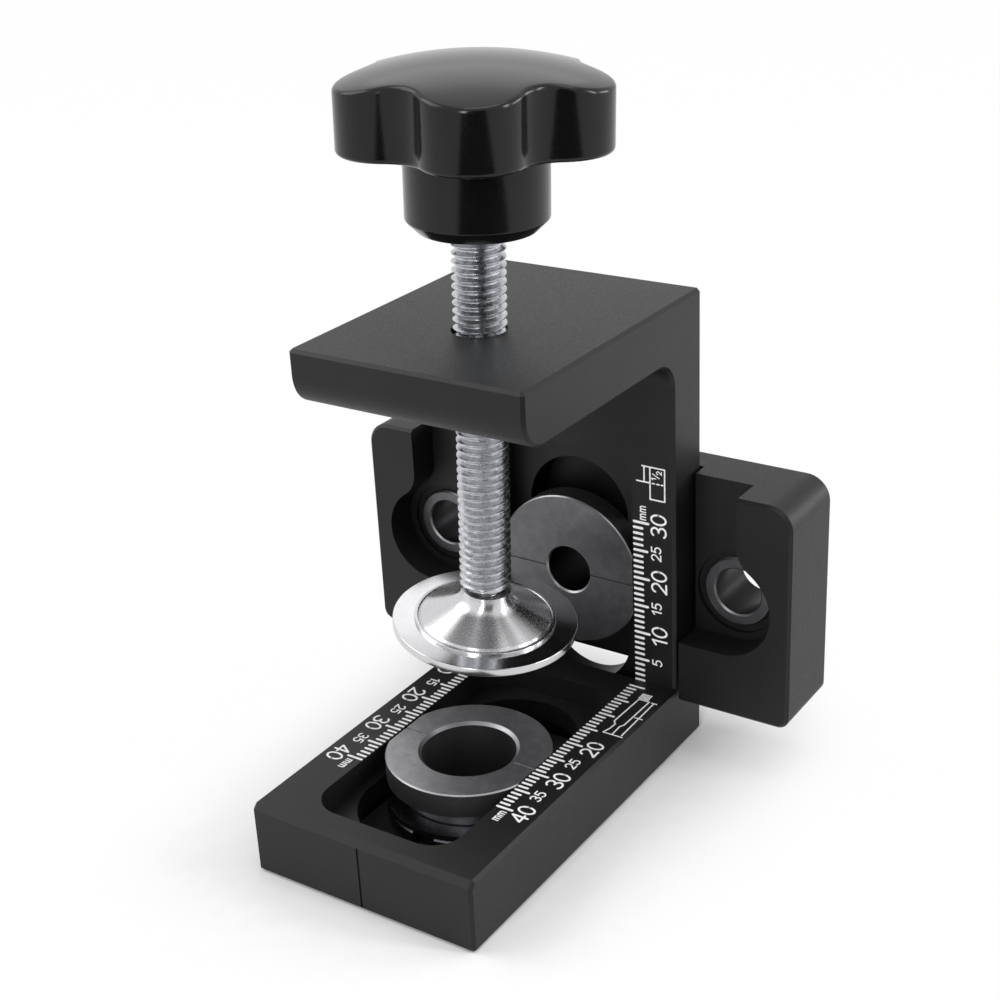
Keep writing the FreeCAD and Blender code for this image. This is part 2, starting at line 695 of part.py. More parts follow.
def build_cross_block():
    """Block that rides behind the leg and carries an outer bush on each wing."""
    body = new_body("cross_block", z="centre_height")
    face = new_sketch(body, "BlockFace", "XZ_Plane")
    draw_round_box(face, f"-{BLOCK_HALF}", BLOCK_HALF, "-block_half_height", "block_half_height",
                   "block_foot_round", "block_top_round")
    add_pad(body, face, "block_thick", backwards=True)

    def outline_edge(edge):
        deep = box_of(edge)[1]
        return lies_at(deep, 0, value("block_thick"))
    dress(body, "PartDesign::Chamfer", "BlockBevel", "edge_bevel", outline_edge)

    channel = new_sketch(body, "Channel", "XZ_Plane")
    half = "(frame_width / 2 + channel_play)"
    over = "(block_half_height + edge_bevel)"
    draw_box(channel, f"-{half}", half, f"-{over}", over)
    add_pocket(body, channel, "leg_thick + slide_play")

    for sign, side in (("-", -1), ("", 1)):
        cut_wing(body, sign, side, half, over)

    web = new_sketch(body, "BarrelHole", "XZ_Plane")
    draw_circle(web, "0", "0", "centre_barrel + barrel_play")
    add_pocket(body, web, "block_thick + edge_bevel")
    return body


def cut_wing(body, sign, side, inner, over):
    """Recess of one wing: a lobe round the bush, open to the channel and the top.

    The lobe is tangent to the level floor line below the bush and, through a round,
    to the upright wall above it.
    """
    name = "Left" if side < 0 else "Right"
    reach = "(wing_lobe + wing_round)"
    beside = "(wing_side + wing_round)"
    wall = f"{sign}({BUSH_ACROSS} + wing_side)"
    rise = f"sqrt({reach}^2 - {beside}^2)"
    share = f"wing_lobe / {reach}"
    start = f"({inner} - channel_play / 2)"
    recess = new_sketch(body, name + "Wing", "XZ_Plane")
    draw_loop(recess, [
        (f"{sign}{start}", "-wing_lobe"),
        (f"{sign}{BUSH_ACROSS}", "-wing_lobe", "wing_lobe", side),
        (f"{sign}({BUSH_ACROSS} + {beside} * {share})", f"{rise} * {share}", "wing_round", -side),
        (wall, rise),
        (wall, over),
        (f"{sign}{start}", over),
    ])
    add_pocket(body, recess, "wing_depth")
    spot = new_sketch(body, name + "Spot", "XZ_Plane")
    draw_circle(spot, f"{sign}{BUSH_ACROSS}", "0", "spot_radius")
    add_pocket(body, spot, "wing_depth + spot_depth")
    hole = new_sketch(body, name + "BushHole", "XZ_Plane")
    draw_circle(hole, f"{sign}{BUSH_ACROSS}", "0", "bush_radius + press_play")
    add_pocket(body, hole, "block_thick + edge_bevel")


def build_dowel_bush(label, sign):
    """Plain hardened bush, flush with the floor of the wing recess."""
    body = new_body(label, x=f"{sign}{BUSH_ACROSS}", y="wing_depth", z="centre_height")
    face_front(body)
    add_turned(body, label + "_profile", [
        ("bush_bore", "-bush_length + centre_mouth"),
        ("bush_bore + centre_mouth", "-bush_length"),
        ("bush_radius - centre_mouth", "-bush_length"),
        ("bush_radius", "-bush_length + centre_mouth"),
        ("bush_radius", "-centre_mouth"),
        ("bush_radius - centre_mouth", "0"),
        ("bush_bore + centre_mouth", "0"),
        ("bush_bore", "-centre_mouth"),
    ])
    return body


# Pieces on the clamp screw share its lean

def lean_on_screw(label, height, turn="0"):
    """Body on the leaning axis, this far above the middle of the top arm's thread."""
    off = f"{height} * sin(screw_lean)"
    body = new_body(label, x=f"{off} * cos(screw_lean_turn)",
                    y=f"{off} * sin(screw_lean_turn) - screw_reach",
                    z=f"{THREAD_MIDDLE} + {height} * cos(screw_lean)")
    across = math.radians(value("screw_lean_turn") + 90)
    lean = FreeCAD.Rotation(FreeCAD.Vector(math.cos(across), math.sin(across), 0), value("screw_lean"))
    spin = FreeCAD.Rotation(FreeCAD.Vector(0, 0, 1), value(turn))
    body.Placement.Rotation = lean.multiply(spin)
    return body


# Clamp screw, with the ball centre at the local origin

def build_clamp_screw():
    """Screw with a necked ball below the thread."""
    body = lean_on_screw("clamp_screw", "-ball_below")
    top = "(ball_below + knob_above + screw_in_knob)"
    meet = "sqrt(ball_radius^2 - neck_radius^2)"
    add_turned(body, "ScrewProfile", [
        ("0", "-ball_radius", "ball_radius", 1),
        ("neck_radius", meet),
        ("neck_radius", "screw_shoulder"),
        ("screw_radius - screw_bevel", "screw_shoulder"),
        ("screw_radius", "screw_shoulder + screw_bevel"),
        ("screw_radius", f"{top} - screw_bevel"),
        ("screw_radius - screw_bevel", top),
        ("0", top),
    ])
    return body


def build_ball_seat():
    """Cup under the ball that carries the thrust into the pad."""
    body = lean_on_screw("ball_seat", "-ball_below")
    inner = "(ball_radius + ball_play)"
    add_turned(body, "SeatProfile", [
        ("0", f"-{SEAT_RADIUS}", SEAT_RADIUS, 1),
        (f"sqrt({SEAT_RADIUS}^2 - seat_rim^2)", "-seat_rim"),
        (f"sqrt({inner}^2 - seat_rim^2)", "-seat_rim", inner, -1),
        ("0", f"-{inner}"),
    ])
    return body


# Pad, with the ball centre at the local origin, leaning as it rests on the screw

def lean_pad(body):
    """Lean a pad piece as it rests, about the level axis through the ball centre."""
    turn = math.radians(value("pad_lean_turn"))
    axis = FreeCAD.Vector(math.cos(turn), math.sin(turn), 0)
    body.Placement.Rotation = FreeCAD.Rotation(axis, value("pad_lean"))


def build_pad_plate():
    """Pressure plate, a disc with its edges broken."""
    body = lean_on_screw("pad_plate", "-ball_below")
    lean_pad(body)
    bottom = "(pad_drop + pad_thick)"
    add_turned(body, "PlateProfile", [
        ("0", f"-{bottom}"),
        ("pad_radius - pad_edge", f"-{bottom}"),
        ("pad_radius", f"-{bottom} + pad_edge"),
        ("pad_radius", "-pad_drop - pad_edge"),
        ("pad_radius - pad_edge", "-pad_drop"),
        ("0", "-pad_drop"),
    ])
    return body


def build_pad_dome():
    """Bell over the ball, beaded at its foot and closed in round the neck."""
    body = lean_on_screw("pad_dome", "-ball_below")
    lean_pad(body)
    bead_top = "(pad_drop - bead_tall)"
    add_turned(body, "DomeProfile", [
        ("0", "-pad_drop"),
        ("bead_radius", "-pad_drop"),
        ("bead_radius", f"-{bead_top}"),
        ("bead_radius - bead_width", f"-{bead_top}"),
        ("dome_neck", "bell_rise"),
        ("dome_neck", "dome_top"),
        ("0", "dome_top"),
    ])
    inside = new_sketch(body, "DomeInside", "XZ_Plane")
    draw_loop(inside, [
        ("0", "-pad_drop"),
        ("bead_radius - bead_width - dome_wall", "-pad_drop"),
        (f"{SEAT_RADIUS} + dome_grip", "0"),
        ("0", "0"),
    ])
    add_groove(body, inside)
    socket = new_sketch(body, "DomeSocket", "XZ_Plane")
    grip = "(ball_radius + dome_grip)"
    rise = f"sqrt({grip}^2 - dome_hole^2)"
    draw_loop(socket, [
        ("0", "0"),
        (grip, "0", grip, 1),
        ("dome_hole", rise),
        ("dome_hole", "dome_top + edge_bevel"),
        ("0", "dome_top + edge_bevel"),
    ])
    add_groove(body, socket)
    turn = ring_test("dome_neck", "bell_rise")
    dress(body, "PartDesign::Fillet", "DomeRound", "dome_round", turn)
    return body


# Knob, with the bottom of the hub at the local origin

def draw_lobes(sketch):
    """Outline of tangent arcs, a lobe and a valley in turn."""
    count = round(value("knob_lobes"))
    step = math.pi / count
    reach = value("lobe_tip - lobe_round")
    lobe = value("lobe_round")
    valley = value("valley_round")
    away = reach * math.cos(step) + math.sqrt((lobe + valley) ** 2 - (reach * math.sin(step)) ** 2)
    lean = math.atan2(away * math.sin(step), away * math.cos(step) - reach)
    up = FreeCAD.Vector(0, 0, 1)
    for number in range(count):
        turn = 2 * step * number
        centre = FreeCAD.Vector(reach * math.cos(turn), reach * math.sin(turn), 0)
        between = FreeCAD.Vector(away * math.cos(turn + step), away * math.sin(turn + step), 0)
        lobe_arc = Part.ArcOfCircle(Part.Circle(centre, up, lobe), turn - lean, turn + lean)
        start = turn + 2 * step - lean + math.pi
        valley_arc = Part.ArcOfCircle(Part.Circle(between, up, valley), start, turn + lean + math.pi)
        sketch.addGeometry(lobe_arc)
        sketch.addGeometry(valley_arc)
    for number in range(count):
        first = 2 * number
        following = 2 * ((number + 1) % count)
        sketch.addConstraint(Sketcher.Constraint("Tangent", first, 2, first + 1, 2))
        sketch.addConstraint(Sketcher.Constraint("Tangent", first + 1, 1, following, 1))
        angle = f"360 / knob_lobes * {number}"
        pin_point(sketch, first, 3, f"(lobe_tip - lobe_round) * cos({angle})",
                  f"(lobe_tip - lobe_round) * sin({angle})")
        size_constraint(sketch, Sketcher.Constraint("Radius", first, lobe), "lobe_round")
        size_constraint(sketch, Sketcher.Constraint("Radius", first + 1, valley), "valley_round")


def build_knob():
    """Moulded star knob: lobes under a domed crown, on a bevelled hub."""
    body = lean_on_screw("knob", "knob_above", "knob_turn")
    star = new_sketch(body, "KnobLobes", "XY_Plane", "hub_tall")
    draw_lobes(star)
    add_pad(body, star, "rim_tall + crown_rise")

    crown = new_sketch(body, "KnobCrown", "XZ_Plane")
    tips = "(hub_tall + rim_tall)"
    draw_loop(crown, [
        ("0", f"{tips} + crown_rise", "(lobe_tip^2 + crown_rise^2) / (2 * crown_rise)", -1),
        ("lobe_tip", tips),
        ("lobe_tip + edge_bevel", tips),
        ("lobe_tip + edge_bevel", f"{tips} + crown_rise + edge_bevel"),
        ("0", f"{tips} + crown_rise + edge_bevel"),
    ])
    add_groove(body, crown)

    def lobe_edge(edge):
        up = box_of(edge)[2]
        return not (up[0] < value("hub_tall") + 0.001 and up[1] > value("hub_tall") + 0.1)
    dress(body, "PartDesign::Fillet", "RimRound", "rim_round", lobe_edge)

    add_turned(body, "HubProfile", [
        ("0", "0"),
        ("hub_radius - hub_bevel", "0"),
        ("hub_radius", "hub_bevel"),
        ("hub_radius", "hub_tall"),
        ("0", "hub_tall"),
    ])
    bore = new_sketch(body, "InsertHole", "XY_Plane")
    draw_circle(bore, "0", "0", "insert_radius + press_play")
    add_pocket(body, bore, "insert_tall", backwards=True)
    end = new_sketch(body, "ScrewHole", "XY_Plane")
    draw_circle(end, "0", "0", "screw_radius + edge_bevel")
    add_pocket(body, end, "screw_in_knob + edge_bevel", backwards=True)
    return body


def build_knob_insert():
    """Metal insert that the knob is moulded on and the screw is locked in."""
    body = lean_on_screw("knob_insert", "knob_above")
    add_turned(body, "InsertProfile", [
        ("screw_radius + press_play", "0"),
        ("insert_radius - insert_bevel", "0"),
        ("insert_radius", "insert_bevel"),
        ("insert_radius", "insert_tall - insert_bevel"),
        ("insert_radius - insert_bevel", "insert_tall"),
        ("screw_radius + press_play", "insert_tall"),
    ])
    return body


# Whole jig

pieces = [
    build_clamp_frame(),
    build_base_arm(),
    build_arm_screw("arm_screw_left", "-"),
    build_arm_screw("arm_screw_right", ""),
    build_arm_pin("arm_pin_left", "-"),
    build_arm_pin("arm_pin_right", ""),
    build_cam_bush(),
    *build_cam_hardware(),
    build_cross_block(),
    build_dowel_bush("left_dowel_bush", "-"),
    build_dowel_bush("right_dowel_bush", ""),
    build_centre_bush(),
    *build_centre_hardware(),
    build_clamp_screw(),
    build_ball_seat(),
    build_pad_plate(),
    build_pad_dome(),
    build_knob(),
    build_knob_insert(),
]
doc.recompute()

for item in doc.Objects:
    if "Invalid" in item.State or "Error" in item.State:
        raise RuntimeError("%s failed: %s" % (item.Name, item.State))
for piece in pieces:
    if piece.Shape.isNull() or not piece.Shape.isValid():
        raise RuntimeError("bad shape in " + piece.Label)

for piece in pieces:
    piece.Shape.exportStep("parts/%s.step" % piece.Label)
    print("%-18s solids %d volume %.1f mm3" % (piece.Label, len(piece.Shape.Solids), piece.Shape.Volume))
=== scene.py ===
"""Doweling jig: thread, knob, pad, printed scales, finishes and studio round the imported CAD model.

Lengths are in millimetres until a piece becomes a mesh, which is in metres. The origin is where
the fence face of the leg meets the table face of the base arm, midway across; X runs across, Y runs
from the free ends of the arms towards the leg, Z runs up.
"""

import math

import bmesh
import bpy
import numpy as np
from mathutils import Matrix, Vector


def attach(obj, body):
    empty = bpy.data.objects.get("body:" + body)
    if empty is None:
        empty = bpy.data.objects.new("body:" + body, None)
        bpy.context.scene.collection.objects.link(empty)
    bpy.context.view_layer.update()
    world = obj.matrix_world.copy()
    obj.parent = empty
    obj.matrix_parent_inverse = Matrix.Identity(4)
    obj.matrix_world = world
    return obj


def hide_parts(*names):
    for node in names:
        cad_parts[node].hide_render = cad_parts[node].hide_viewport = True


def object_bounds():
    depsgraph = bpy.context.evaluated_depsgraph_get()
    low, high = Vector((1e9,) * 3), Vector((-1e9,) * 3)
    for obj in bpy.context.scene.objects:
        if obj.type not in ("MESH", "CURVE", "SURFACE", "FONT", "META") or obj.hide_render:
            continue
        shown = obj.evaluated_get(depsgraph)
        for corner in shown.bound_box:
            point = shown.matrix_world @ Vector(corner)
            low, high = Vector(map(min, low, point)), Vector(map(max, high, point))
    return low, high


bl_info = {
    "name": "Doweling Jig",
    "version": (1, 0, 0),
    "blender": (4, 5, 0),
    "location": "3D View > Sidebar > Jig",
    "description": "Thread, knob, pad, printed scales, finishes and studio of a doweling jig",
    "category": "Add Mesh",
}

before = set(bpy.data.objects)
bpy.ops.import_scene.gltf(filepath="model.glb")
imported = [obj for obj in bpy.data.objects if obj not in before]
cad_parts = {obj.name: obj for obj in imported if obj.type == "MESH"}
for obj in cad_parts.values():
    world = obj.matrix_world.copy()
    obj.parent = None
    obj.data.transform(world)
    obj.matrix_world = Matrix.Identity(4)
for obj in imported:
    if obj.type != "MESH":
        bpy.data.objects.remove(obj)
CAD_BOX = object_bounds()
MM = 0.001


# Places and sizes that the CAD solids have, in millimetres

BALL = np.array([-0.9845, -22.67663, 22.01793])
SCREW_LEAN, SCREW_LEAN_TURN = 1.72, 34.5
PAD_LEAN, PAD_LEAN_TURN = 6.8, 81.5
BALL_TO_KNOB = 39.8 + 19.5
SCREW_TOP = BALL_TO_KNOB + 15
SCREW_SHOULDER = 2.6
SCREW_RADIUS, NECK_RADIUS, BALL_RADIUS = 4, 1.5, 2.5
PAD_DROP, PAD_THICK, PAD_RADIUS = 3.15, 1.3, 14.5
KNOB_TURN = 14
CAM_PLACE = (0, -31, 0)
DRILL_HEIGHT = 17.4
BUSH_ACROSS = 28.2
CAM_BORE, DRILL_BORE = 7.5, 4
CAM_MOUTH, DRILL_MOUTH = 0.5, 0.3
FLANGE_RADIUS, DRILL_BUSH_RADIUS = 13.2, 5.95
JOINT_SCREW, JOINT_PIN = (15.4, -4.4), (16.4, -9.2)

# Turns that bring a piece's own axis to Z, for pieces that stand and for pieces that lie along Y
UPRIGHT = (0, 0, 0)
LYING = (math.radians(90), 0, 0)

# Camera of the photo: place in millimetres, angles in radians, focal length as a share of the width
CAMERA_PLACE = (137.638, -218.81, 147.945)
CAMERA_YAW, CAMERA_PITCH, CAMERA_ROLL = 0.603, math.radians(24.41), math.radians(-2.91)
CAMERA_FOCAL, SENSOR_WIDTH = 1.74021, 36

# Lamps: setting that holds the power, place, width and height, in metres
LAMPS = {
    "key": ("key", (-0.75, -0.35, 0.75), 0.7, 0.7),
    "top": ("top", (0.15, 0.1, 1.1), 0.6, 0.6),
    "side": ("side", (0.8, 0.75, 0.25), 0.5, 0.35),
    "back": ("back", (-0.6, 0.9, 0.75), 0.6, 0.4),
    "front_left": ("front", (0.26, -0.77, 0.35), 0.14, 0.5),
    "front_right": ("front", (0.82, 0.22, 0.35), 0.14, 0.5),
}
LAMP_AIM = (0, -0.02, 0.035)

# Floor and black card, in metres: how far they reach, how low they lie and how high the card stands
FLOOR_HALF, FLOOR_GAP = 4.0, 0.00002
CARD_NEAR, CARD_FAR = ((-0.13, -0.17), (0.17, -0.17)), ((0.45, -0.9), (-0.35, -0.9))
CARD_LIFT, CARD_TOP = 0.002, 0.7

# Jig's footprint on the floor in millimetres: middle, half sizes, and half sizes of the painted
# shadow inside it
FOOTPRINT_MIDDLE = -25.5
FOOTPRINT, PAINTED_SHADOW_HALF = (20, 34.5), (8, 22)


# Sizes and colours that a user would change

def linear(code):
    """Linear red, green and blue of an sRGB hex colour."""
    levels = np.array([int(code[n:n + 2], 16) for n in (0, 2, 4)]) / 255
    bright = ((levels + 0.055) / 1.055) ** 2.4
    return tuple(np.where(levels > 0.04045, bright, levels / 12.92).tolist())


def length(name, description, millimetres):
    """Length property, given in millimetres and kept in metres."""
    return bpy.props.FloatProperty(name=name, description=description, default=millimetres * MM,
                                   min=0, unit="LENGTH", precision=5)


def colour(name, description, code):
    """Colour property from an sRGB hex colour."""
    return bpy.props.FloatVectorProperty(name=name, description=description, default=linear(code),
                                         size=3, min=0, max=1, subtype="COLOR")


def power(name, description, watts):
    """Lamp power property, in watts."""
    return bpy.props.FloatProperty(name=name, description=description, default=watts,
                                   min=0, unit="POWER")


class JigThread(bpy.types.PropertyGroup):
    """Thread of the clamp screw"""
    pitch: length("Pitch", "Rise of the clamp thread in one turn", 1.25)
    depth: length("Depth", "Crest to root, on one side of the screw", 0.767)


class JigPrint(bpy.types.PropertyGroup):
    """White printing on the arm and the leg"""
    ink: length("Ink", "Height of the printed ink", 0.03)
    tick: length("Tick width", "Width of the tick marks", 0.44)
    short: length("Short tick", "Length of a millimetre tick", 1.9)
    middle: length("Middle tick", "Length of a tick at five", 2.75)
    long: length("Long tick", "Length of a tick at ten", 3)
    big: length("Tall numbers", "Height of the numbers at ten", 2.6)
    small: length("Low numbers", "Height of the numbers at five", 1.65)


class JigColours(bpy.types.PropertyGroup):
    """Colours of the finishes"""
    anodised: colour("Anodised", "Black anodised aluminium", "0d0d0e")
    blackened: colour("Blackened", "Blackened drill bushes", "6b6b6e")
    ground: colour("Ground", "Ground face of the large bush", "a0a0a3")
    # Edge: ground steel of the bushes' chamfers, drawn bright as a painted highlight round mouth and
    # rim
    edge: colour("Edge", "Ground chamfers of the bushes", "98989b")
    bore: colour("Bore", "Honed bore of the large bush", "7c7c7e")
    oiled: colour("Oiled bore", "Oiled bores of the drill bushes", "1a1a1c")
    zinc: colour("Zinc", "Zinc plated screw", "c9cbcf")
    polished: colour("Polished", "Polished steel of the pad", "d0d0d2")
    plain: colour("Plain steel", "Nuts, washers and joint screws", "606165")
    plastic: colour("Plastic", "Moulded knob", "0d0d0e")
    print: colour("Print", "Printed scales", "fbfbfb")


class JigStage(bpy.types.PropertyGroup):
    """Lamps and light from all round"""
    key: power("Key", "Power of the large soft lamp on the left", 4)
    top: power("Top", "Power of the soft lamp overhead", 2.4)
    front: power("Front", "Power of each narrow lamp in front", 2.4)
    side: power("Side", "Power of the soft lamp behind on the right", 3.4)
    back: power("Back", "Power of the soft lamp high behind the jig", 0.35)
    sky: bpy.props.FloatProperty(name="Sky", description="Level of the light from all round",
                                 default=0.5, min=0, max=1, subtype="FACTOR")


# Surfaces

def turn_about(axis, degrees):
    """Rotation matrix about an axis."""
    return np.array(Matrix.Rotation(math.radians(degrees), 3, Vector(axis)))


def level(degrees):
    """Level direction at an angle from X."""
    angle = math.radians(degrees)
    return (math.cos(angle), math.sin(angle), 0)


SCREW_FRAME = turn_about(level(SCREW_LEAN_TURN + 90), SCREW_LEAN)
PAD_FRAME = turn_about(level(PAD_LEAN_TURN), PAD_LEAN)


def grid_faces(rows, columns, closed_rows=False):
    """Quads between neighbouring points of a grid whose columns go all the way round."""
    count = rows if closed_rows else rows - 1
    row, column = np.meshgrid(np.arange(count), np.arange(columns), indexing="ij")
    low, high = row * columns, (row + 1) % rows * columns
    beside = (column + 1) % columns
    return np.stack([low + column, low + beside, high + beside, high + column], -1).reshape(-1, 4)


def turned(profile, columns=160, closed_rows=False):
    """Profile of (radius, height) turned about Z: each point gives a circle of that radius."""
    profile = np.asarray(profile, float)
    angle = np.linspace(0, 2 * math.pi, columns, endpoint=False)
    radius, height = profile[:, :1], profile[:, 1:]
    points = np.stack([radius * np.cos(angle), radius * np.sin(angle), height + 0 * angle], -1)
    return points.reshape(-1, 3), grid_faces(len(profile), columns, closed_rows)


def rounded(corners, steps=5):
    """Profile through corners (radius, height, round), each rounded by a parabola.

    The parabola starts and ends the round's length away from the corner, along its two sides.
    """
    points = []
    for number, (across, up, cut) in enumerate(corners):
        corner = np.array([across, up], float)
        if not cut:
            points.append(corner)
            continue
        before = np.array(corners[number - 1][:2], float) - corner
        after = np.array(corners[(number + 1) % len(corners)][:2], float) - corner
        start = corner + before / np.linalg.norm(before) * cut
        end = corner + after / np.linalg.norm(after) * cut
        share = np.linspace(0, 1, steps)[:, None]
        points.extend((1 - share) ** 2 * start + 2 * share * (1 - share) * corner
                      + share ** 2 * end)
    return np.array(points)


def arc(across, up, radius, first, last, steps=24, tall=None):
    """Points of an arc, or of part of an ellipse if tall is given, from one angle to another."""
    angle = np.radians(np.linspace(first, last, steps))
    tall = radius if tall is None else tall
    return np.stack([across + radius * np.cos(angle), up + tall * np.sin(angle)], -1)


def join(parts):
    """One set of points and faces from several."""
    starts = np.cumsum([0] + [len(points) for points, faces in parts[:-1]])
    points = np.concatenate([points for points, faces in parts])
    return points, np.concatenate([faces + start for (_, faces), start in zip(parts, starts)])


def new_piece(name, surface, body, finish, crease=32, replaced=()):
    """Mesh from points in millimetres, welded, smooth up to the crease angle, riding on a body."""
    points, faces = surface
    mesh = bpy.data.meshes.new(name)
    mesh.from_pydata((points * MM).tolist(), [], faces.tolist())
    weld = bmesh.new()
    weld.from_mesh(mesh)
    bmesh.ops.remove_doubles(weld, verts=weld.verts, dist=2e-7)
    bmesh.ops.dissolve_degenerate(weld, edges=weld.edges, dist=1e-8)
    weld.to_mesh(mesh)
    weld.free()
    mesh.validate()
    mesh.shade_smooth()
    mesh.set_sharp_from_angle(angle=math.radians(crease))
    piece = bpy.data.objects.new(name, mesh)
    bpy.context.scene.collection.objects.link(piece)
    mesh.materials.append(finish)
    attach(piece, body)
    if replaced:
        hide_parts(*replaced)
    return piece


def helical_thread(pitch, depth, low, high, columns=64):
    """Screw thread whose rows climb one pitch in a turn.

    A point is at height pitch times (row share + column share), and its radius goes from crest to
    root and back along each pitch. A cone at both ends holds the radius down to the end circle. The
    last column joins the first one a pitch higher.
    """
    shares = np.array([0, 0.06, 0.125, 0.479, 0.5625, 0.646])
    drops = np.array([0.02, 0, 0.02, 0.97, 1, 0.97])
    step = len(shares)
    rows = (math.ceil((high - low) / pitch) + 2) * step
    row, column = np.meshgrid(np.arange(rows), np.arange(columns), indexing="ij")
    height = low + pitch * (row // step + shares[row % step] - 1 + column / columns)
    height = np.clip(height, low, high)
    below_root = 0.03
    end_radius = SCREW_RADIUS - depth - below_root
    cone = end_radius + np.minimum(height - low, high - height)
    radius = np.minimum(SCREW_RADIUS - depth * drops[row % step], cone)
    angle = 2 * math.pi * column / columns
    points = np.stack([radius * np.cos(angle), radius * np.sin(angle), height], -1).reshape(-1, 3)
    index = np.arange(rows * columns).reshape(rows, columns)
    wide = np.concatenate([index[:-step], index[step:, :1]], 1)
    faces = np.stack([wide[:-1, :-1], wide[:-1, 1:], wide[1:, 1:], wide[1:, :-1]], -1)
    bottom = turned([(0, low), (end_radius, low)], columns)
    top = turned([(end_radius, high), (0, high)], columns)
    return join([(points, faces.reshape(-1, 4)), bottom, top])


def star_outline(angle):
    """Points and outward directions of five lobes joined by valleys, all arcs tangent.

    Within a lobe the outline is a circle about a centre on the lobe's line, and between lobes it is
    the near side of a circle about a centre on the valley's line.
    """
    lobes, tip, lobe, valley = 5, 19.8, 7.4, 6.3
    step = math.pi / lobes
    reach = tip - lobe
    away = reach * math.cos(step) + math.sqrt((lobe + valley) ** 2 - (reach * math.sin(step)) ** 2)
    lean = math.atan2(away * math.sin(step), away * math.cos(step) - reach)
    meet = math.atan2(lobe * math.sin(lean), reach + lobe * math.cos(lean))
    nearest = np.round(angle / (2 * step)) * 2 * step
    offset = angle - nearest
    on_lobe = np.abs(offset) <= meet
    centre_turn = np.where(on_lobe, nearest, nearest + np.where(offset < 0, -step, step))
    centre_reach = np.where(on_lobe, reach, away)
    size = np.where(on_lobe, lobe, valley)
    swing = angle - centre_turn
    root = np.sqrt(size ** 2 - (centre_reach * np.sin(swing)) ** 2)
    radius = centre_reach * np.cos(swing) + np.where(on_lobe, root, -root)
    places = radius[:, None] * np.stack([np.cos(angle), np.sin(angle)], -1)
    centres = centre_reach[:, None] * np.stack([np.cos(centre_turn), np.sin(centre_turn)], -1)
    outward = (places - centres) / size[:, None] * np.where(on_lobe, 1, -1)[:, None]
    return places, outward


def knob_surface(columns=600):
    """Star knob: crown, rolled edge, wall, underside, hub and bore, row by row.

    The crown is a sphere over the outline. The rolled edge is where a small ball would rest inside
    both wall and crown: its points go from the wall's outward direction to the crown's own.
    """
    hub, hub_tall, hub_bevel, rim, rise, roll = 10.4, 11.8, 1.8, 9.1, 3.45, 0.8
    tip, insert, insert_tall, hole, hole_tall = 19.8, 6.51, 14, 4.5, 15.5
    angle = np.linspace(0, 2 * math.pi, columns, endpoint=False)
    outline, outward = star_outline(angle)
    inner = outline - outward * roll
    sphere = (tip ** 2 + rise ** 2) / (2 * rise)
    base = hub_tall + rim + rise - sphere
    seat = np.sqrt((sphere - roll) ** 2 - (inner ** 2).sum(-1))
    lift = np.concatenate([inner, seat[:, None]], -1) / (sphere - roll)
    wall = np.concatenate([outward, 0 * seat[:, None]], -1)
    rows = []
    for share in np.linspace(0, 1, 14)[1:]:
        place = inner * share
        tall = base + np.sqrt(sphere ** 2 - (place ** 2).sum(-1))
        rows.append(np.concatenate([place, tall[:, None]], -1))
    rows = [np.concatenate([0 * inner, np.full((columns, 1), base + sphere)], -1)] + rows[:-1]
    centre = np.concatenate([inner, (base + seat)[:, None]], -1)
    opening = np.arccos(np.clip((lift * wall).sum(-1), -1, 1))[:, None]
    for share in np.linspace(0, 1, 8):
        mixed = np.sin((1 - share) * opening) * lift + np.sin(share * opening) * wall
        rows.append(centre + roll * mixed / np.sin(opening))
    low = np.concatenate([inner, np.full((columns, 1), hub_tall + roll)], -1)
    down = np.array([0, 0, -1.0])
    for share in np.linspace(0, math.pi / 2, 8):
        rows.append(low + roll * (math.cos(share) * wall + math.sin(share) * down))
    circle = np.stack([np.cos(angle), np.sin(angle)], -1)
    bore = rounded([
        (hub, hub_tall, 0), (hub, hub_bevel, 0.25), (hub - hub_bevel, 0, 0.25), (insert, 0, 0.1),
        (insert, insert_tall, 0), (hole, insert_tall, 0), (hole, hole_tall, 0), (0, hole_tall, 0)])
    for radius, height in bore:
        rows.append(np.concatenate([circle * radius, np.full((columns, 1), height)], -1))
    rows = rows[::-1]
    return np.concatenate(rows), grid_faces(len(rows), columns)


# Printed marks, as raised lines on a flat face

def stroke(path, width, low, high):
    """Raised line: a flat rectangle carried along a path, in the path's own plane.

    The width stays even along the path, and past each end it shrinks as a half circle does, so the
    line closes in a round end. Low and high are the heights of its underside and its top.
    """
    path = np.asarray(path, float)
    along = np.gradient(path, axis=0)
    along /= np.linalg.norm(along, axis=1, keepdims=True)
    half = width / 2
    swing = np.radians([90, 65, 40, 20])[:, None]
    first = path[0] - along[0] * half * np.sin(swing)
    last = path[-1] + along[-1] * half * np.sin(swing[::-1])
    ends = half * np.cos(swing[:, 0])
    widths = np.concatenate([ends, np.full(len(path), half), ends[::-1]])[:, None]
    middle = np.concatenate([first, path, last])
    turns = (len(swing), 1)
    tangent = np.concatenate([np.tile(along[0], turns), along, np.tile(along[-1], turns)])
    side = np.stack([-tangent[:, 1], tangent[:, 0]], -1) * widths
    left, right = middle + side, middle - side
    rails = [(left, high), (left, low), (right, low), (right, high)]
    rails = [np.concatenate([edge, np.full((len(edge), 1), tall)], -1) for edge, tall in rails]
    return np.stack(rails, 1).reshape(-1, 3), grid_faces(len(middle), 4)


